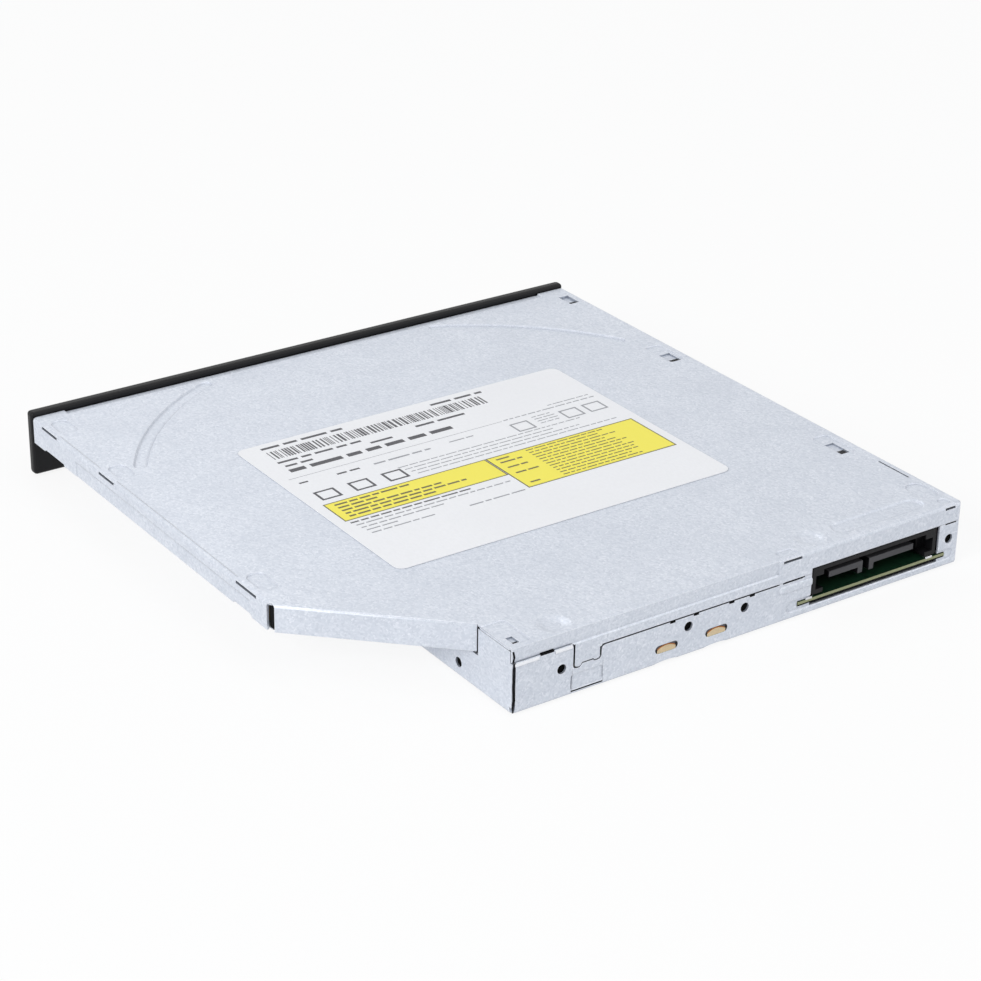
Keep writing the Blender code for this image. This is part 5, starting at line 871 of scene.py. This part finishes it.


# Flat cable: its fold moves with the right rail and its upper run with the tray

CABLE_LEFT = -14.0
CABLE_RIGHT = 0.0
CABLE_HALF = 0.075
CABLE_LOW = 0.825
CABLE_HIGH = 1.975
FOLD_Y = -30.0
FOLD_STEPS = 12
BLEND_Y = 46.7
TRAY_END_Y = 36.4
CASE_END_Y = 50.7
LOW_RUN = (((CASE_END_Y, CABLE_LOW + 0.6), (49.5, CABLE_LOW + 0.5), (BLEND_Y, CABLE_LOW),
            (FOLD_Y, CABLE_LOW)), (1, 2, 30))
HIGH_RUN = (((FOLD_Y, CABLE_HIGH), (32.2, CABLE_HIGH), (35.1, CABLE_HIGH + 0.55),
             (TRAY_END_Y, CABLE_HIGH + 0.6)), (16, 2, 1))


def ribbon_piece(name, line, steps):
    """A flat ribbon along a line of (y, z), divided into steps."""
    points = []
    for (y0, z0), (y1, z1), count in zip(line, line[1:], steps):
        for index in range(count):
            share = index / count
            points.append(Vector((y0 + (y1 - y0) * share, z0 + (z1 - z0) * share)))
    points.append(Vector(line[-1]))
    rings = []
    for index, point in enumerate(points):
        before = points[max(index - 1, 0)]
        after = points[min(index + 1, len(points) - 1)]
        along = (after - before).normalized()
        out = Vector((-along.y, along.x)) * CABLE_HALF
        rings.append([(x, *(point + side)) for x, side in
                      ((CABLE_LEFT, out), (CABLE_RIGHT, out), (CABLE_RIGHT, -out), (CABLE_LEFT, -out))])
    bm = bmesh.new()
    add_loft(bm, rings)
    made = dressed(name, bm, finishes["copper_film"])
    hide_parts("flex_cable")
    return made


def make_cable():
    low = ribbon_piece("cable_low", *LOW_RUN)
    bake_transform(low)
    radius = (CABLE_HIGH - CABLE_LOW) / 2
    fold = []
    for index in range(FOLD_STEPS + 1):
        angle = math.radians(270 - 180 * index / FOLD_STEPS)
        fold.append((FOLD_Y + radius * math.cos(angle), CABLE_LOW + radius + radius * math.sin(angle)))
    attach(ribbon_piece("cable_fold", fold, [1] * FOLD_STEPS), "right_rail")
    high = ribbon_piece("cable_high", *HIGH_RUN)
    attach(high, "tray")
    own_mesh(high)


# Lead screw: its axis lies across the tray at 45 degrees

SCREW_MIDDLE = Vector((14.1421, -14.1421, 5.9))
SCREW_ALONG = Vector((-math.sqrt(0.5), -math.sqrt(0.5), 0.0))
SCREW_LEAD = 3.0
THREAD_SPAN = (5.0, 56.0)
THREAD_STEPS = 16
THREAD_PROFILE = ((-0.28, 0.97), (0.0, 1.06), (0.28, 0.97), (0.0, 0.9))


def make_thread():
    """A fine raised thread, in step with the sled's travel."""
    up = Vector((0, 0, 1))
    across = SCREW_ALONG.cross(up)
    start, end = THREAD_SPAN
    count = int((end - start) / SCREW_LEAD * THREAD_STEPS)
    rings = []
    for index in range(count + 1):
        reach = start + (end - start) * index / count
        angle = -2 * math.pi * reach / SCREW_LEAD
        out = across * math.cos(angle) + up * math.sin(angle)
        rings.append([SCREW_MIDDLE + SCREW_ALONG * (reach + shift) + out * radius
                      for shift, radius in THREAD_PROFILE])
    bm = bmesh.new()
    add_loft(bm, rings)
    piece("lead_thread", bm, "bright_steel", body="lead_screw")


# Lines and slots of the sheets: a line has two ends (x, z) on the rear wall and a width

LINE_Y = behind(0.03, -0.012)
SEAM_Z = 7.94
FLAP_RIGHT = 25.25
FLAP_LEFT = 19.75
SEAM_LINES = (((FLAP_RIGHT, 9.70), (FLAP_RIGHT, 5.40), 0.20),
              ((FLAP_LEFT, 7.65), (FLAP_LEFT, 5.95), 0.22),
              ((FLAP_LEFT - 0.35, SEAM_Z), (-19.6, SEAM_Z), 0.17),
              ((-21.0, SEAM_Z), (-25.8, SEAM_Z), 0.24))
FLAP_LINES = (((25.55, 5.0), (25.75, 0.86), 0.11), ((19.15, 4.75), (19.05, 0.86), 0.11))
VENT_MIDDLES = (4.17, -1.05, -9.0, -13.65)
VENT_HALF = 0.6
VENT_Y = behind(0.2, 0.02)
VENT_Z = (7.45, 7.95)
WALL_SLOTS = (((-62.65, -59.9), (8.78, 9.04)), ((29.5, 32.4), (9.62, 9.94)), ((19.1, 25.8), (0.57, 0.84)))
WALL_SLOT_Y = behind(0.25, 0.03)
PORT_SHADE = ((-60.2, -24.7), behind(0.15, 0.03), (2.18, 2.42))
CORNER_SHADE = ((63.05, 63.35), (26.9, 28.2), (7.8, 12.1))
BEND_SLOT_YS = ((-59.3, -52.9), (-35.35, -29.3), (16.3, 23.3))
BEND_SLOT_X = (63.15, 63.48)
BEND_SLOT_Z = (11.80, 12.18)
TOP_CREASES = (((63.26, 63.46), (-52.4, -35.6), (12.66, 12.708)),
               ((63.26, 63.46), (-29.0, 16.0), (12.66, 12.708)))
SIDE_CREASE = ((63.97, 64.01), (-45.0, 21.0), (10.38, 10.50))


def add_line(bm, start, end, width):
    """A closed strip on the rear wall, level or upright."""
    (x0, z0), (x1, z1) = start, end
    half = width / 2
    if abs(x1 - x0) > abs(z1 - z0):
        strip = [(x0, z0 - half), (x0, z0 + half), (x1, z1 + half), (x1, z1 - half)]
    else:
        strip = [(x0 - half, z0), (x0 + half, z0), (x1 + half, z1), (x1 - half, z1)]
    add_prism(bm, strip, *LINE_Y, along_y)


def make_seam():
    """The shadow in the joint between the cover's lip and the rear wall, and in the sheets' slots."""
    bm = bmesh.new()
    for line in SEAM_LINES:
        add_line(bm, *line)
    for middle in VENT_MIDDLES:
        add_block(bm, around(middle, VENT_HALF), VENT_Y, VENT_Z)
    for x, z in WALL_SLOTS:
        add_block(bm, x, WALL_SLOT_Y, z)
    add_block(bm, *PORT_SHADE)
    add_block(bm, *CORNER_SHADE)
    for y in BEND_SLOT_YS:
        add_block(bm, BEND_SLOT_X, y, BEND_SLOT_Z)
    piece("seam_shade", bm, "black_paint", shadow("seam_shade", SEAM_SHADE, 0.8, 0.1))


def make_crease_shade():
    """Painted shade: darker steel lines along the faint step around the tongue under the flap, and along
    the folds on the right side.
    """
    crease_shade_steel = steel("steel_crease_shade", STEEL_CREASE_SHADE, 0.3)
    flap = bmesh.new()
    for line in FLAP_LINES:
        add_line(flap, *line)
    piece("flap_step_shade", flap, "steel", crease_shade_steel)
    creases = bmesh.new()
    for crease in (*TOP_CREASES, SIDE_CREASE):
        add_block(creases, *crease)
    piece("side_crease_shade", creases, "steel", crease_shade_steel)


# Cover slots: below each, a tab whose darker steel is painted shade, and a dark gap at its rear end that
# is painted shade

COVER_SLOTS = (((-62.2, -59.8), (-58.8, -54.4)), ((-61.4, -58.8), (-21.9, -17.6)),
               ((-60.8, -58.7), (30.2, 35.1)), ((35.5, 36.8), (58.95, 61.25)))
SLOT_TAB_SHARE = 0.62
SLOT_TAB_Z = (12.10, 12.22)
SLOT_GAP_Z = (12.04, 12.14)


def make_slot_tabs():
    tabs = bmesh.new()
    gaps = bmesh.new()
    for x, (front, rear) in COVER_SLOTS:
        middle = front + SLOT_TAB_SHARE * (rear - front)
        add_block(tabs, x, (front, middle), SLOT_TAB_Z)
        add_block(gaps, x, (middle, rear), SLOT_GAP_Z)
    piece("slot_tabs", tabs, "steel", steel("steel_tab_shaded", STEEL_SHADE, 0.6))
    piece("slot_gaps", gaps, "black_paint", shadow("gap_dark", GAP_SHADE, 0.7))


make_camera()
for lamp in LAMPS:
    make_lamp(*lamp)
make_world()
make_floor()
dress_nodes()
make_label_print()
make_windows()
make_hole_shade_discs()
make_corner_seam()
make_wall_bend()
make_cable()
make_seam()
make_crease_shade()
make_slot_tabs()
make_board_parts()
make_tongues()
make_thread()

bpy.context.scene.view_settings.view_transform = "Standard"
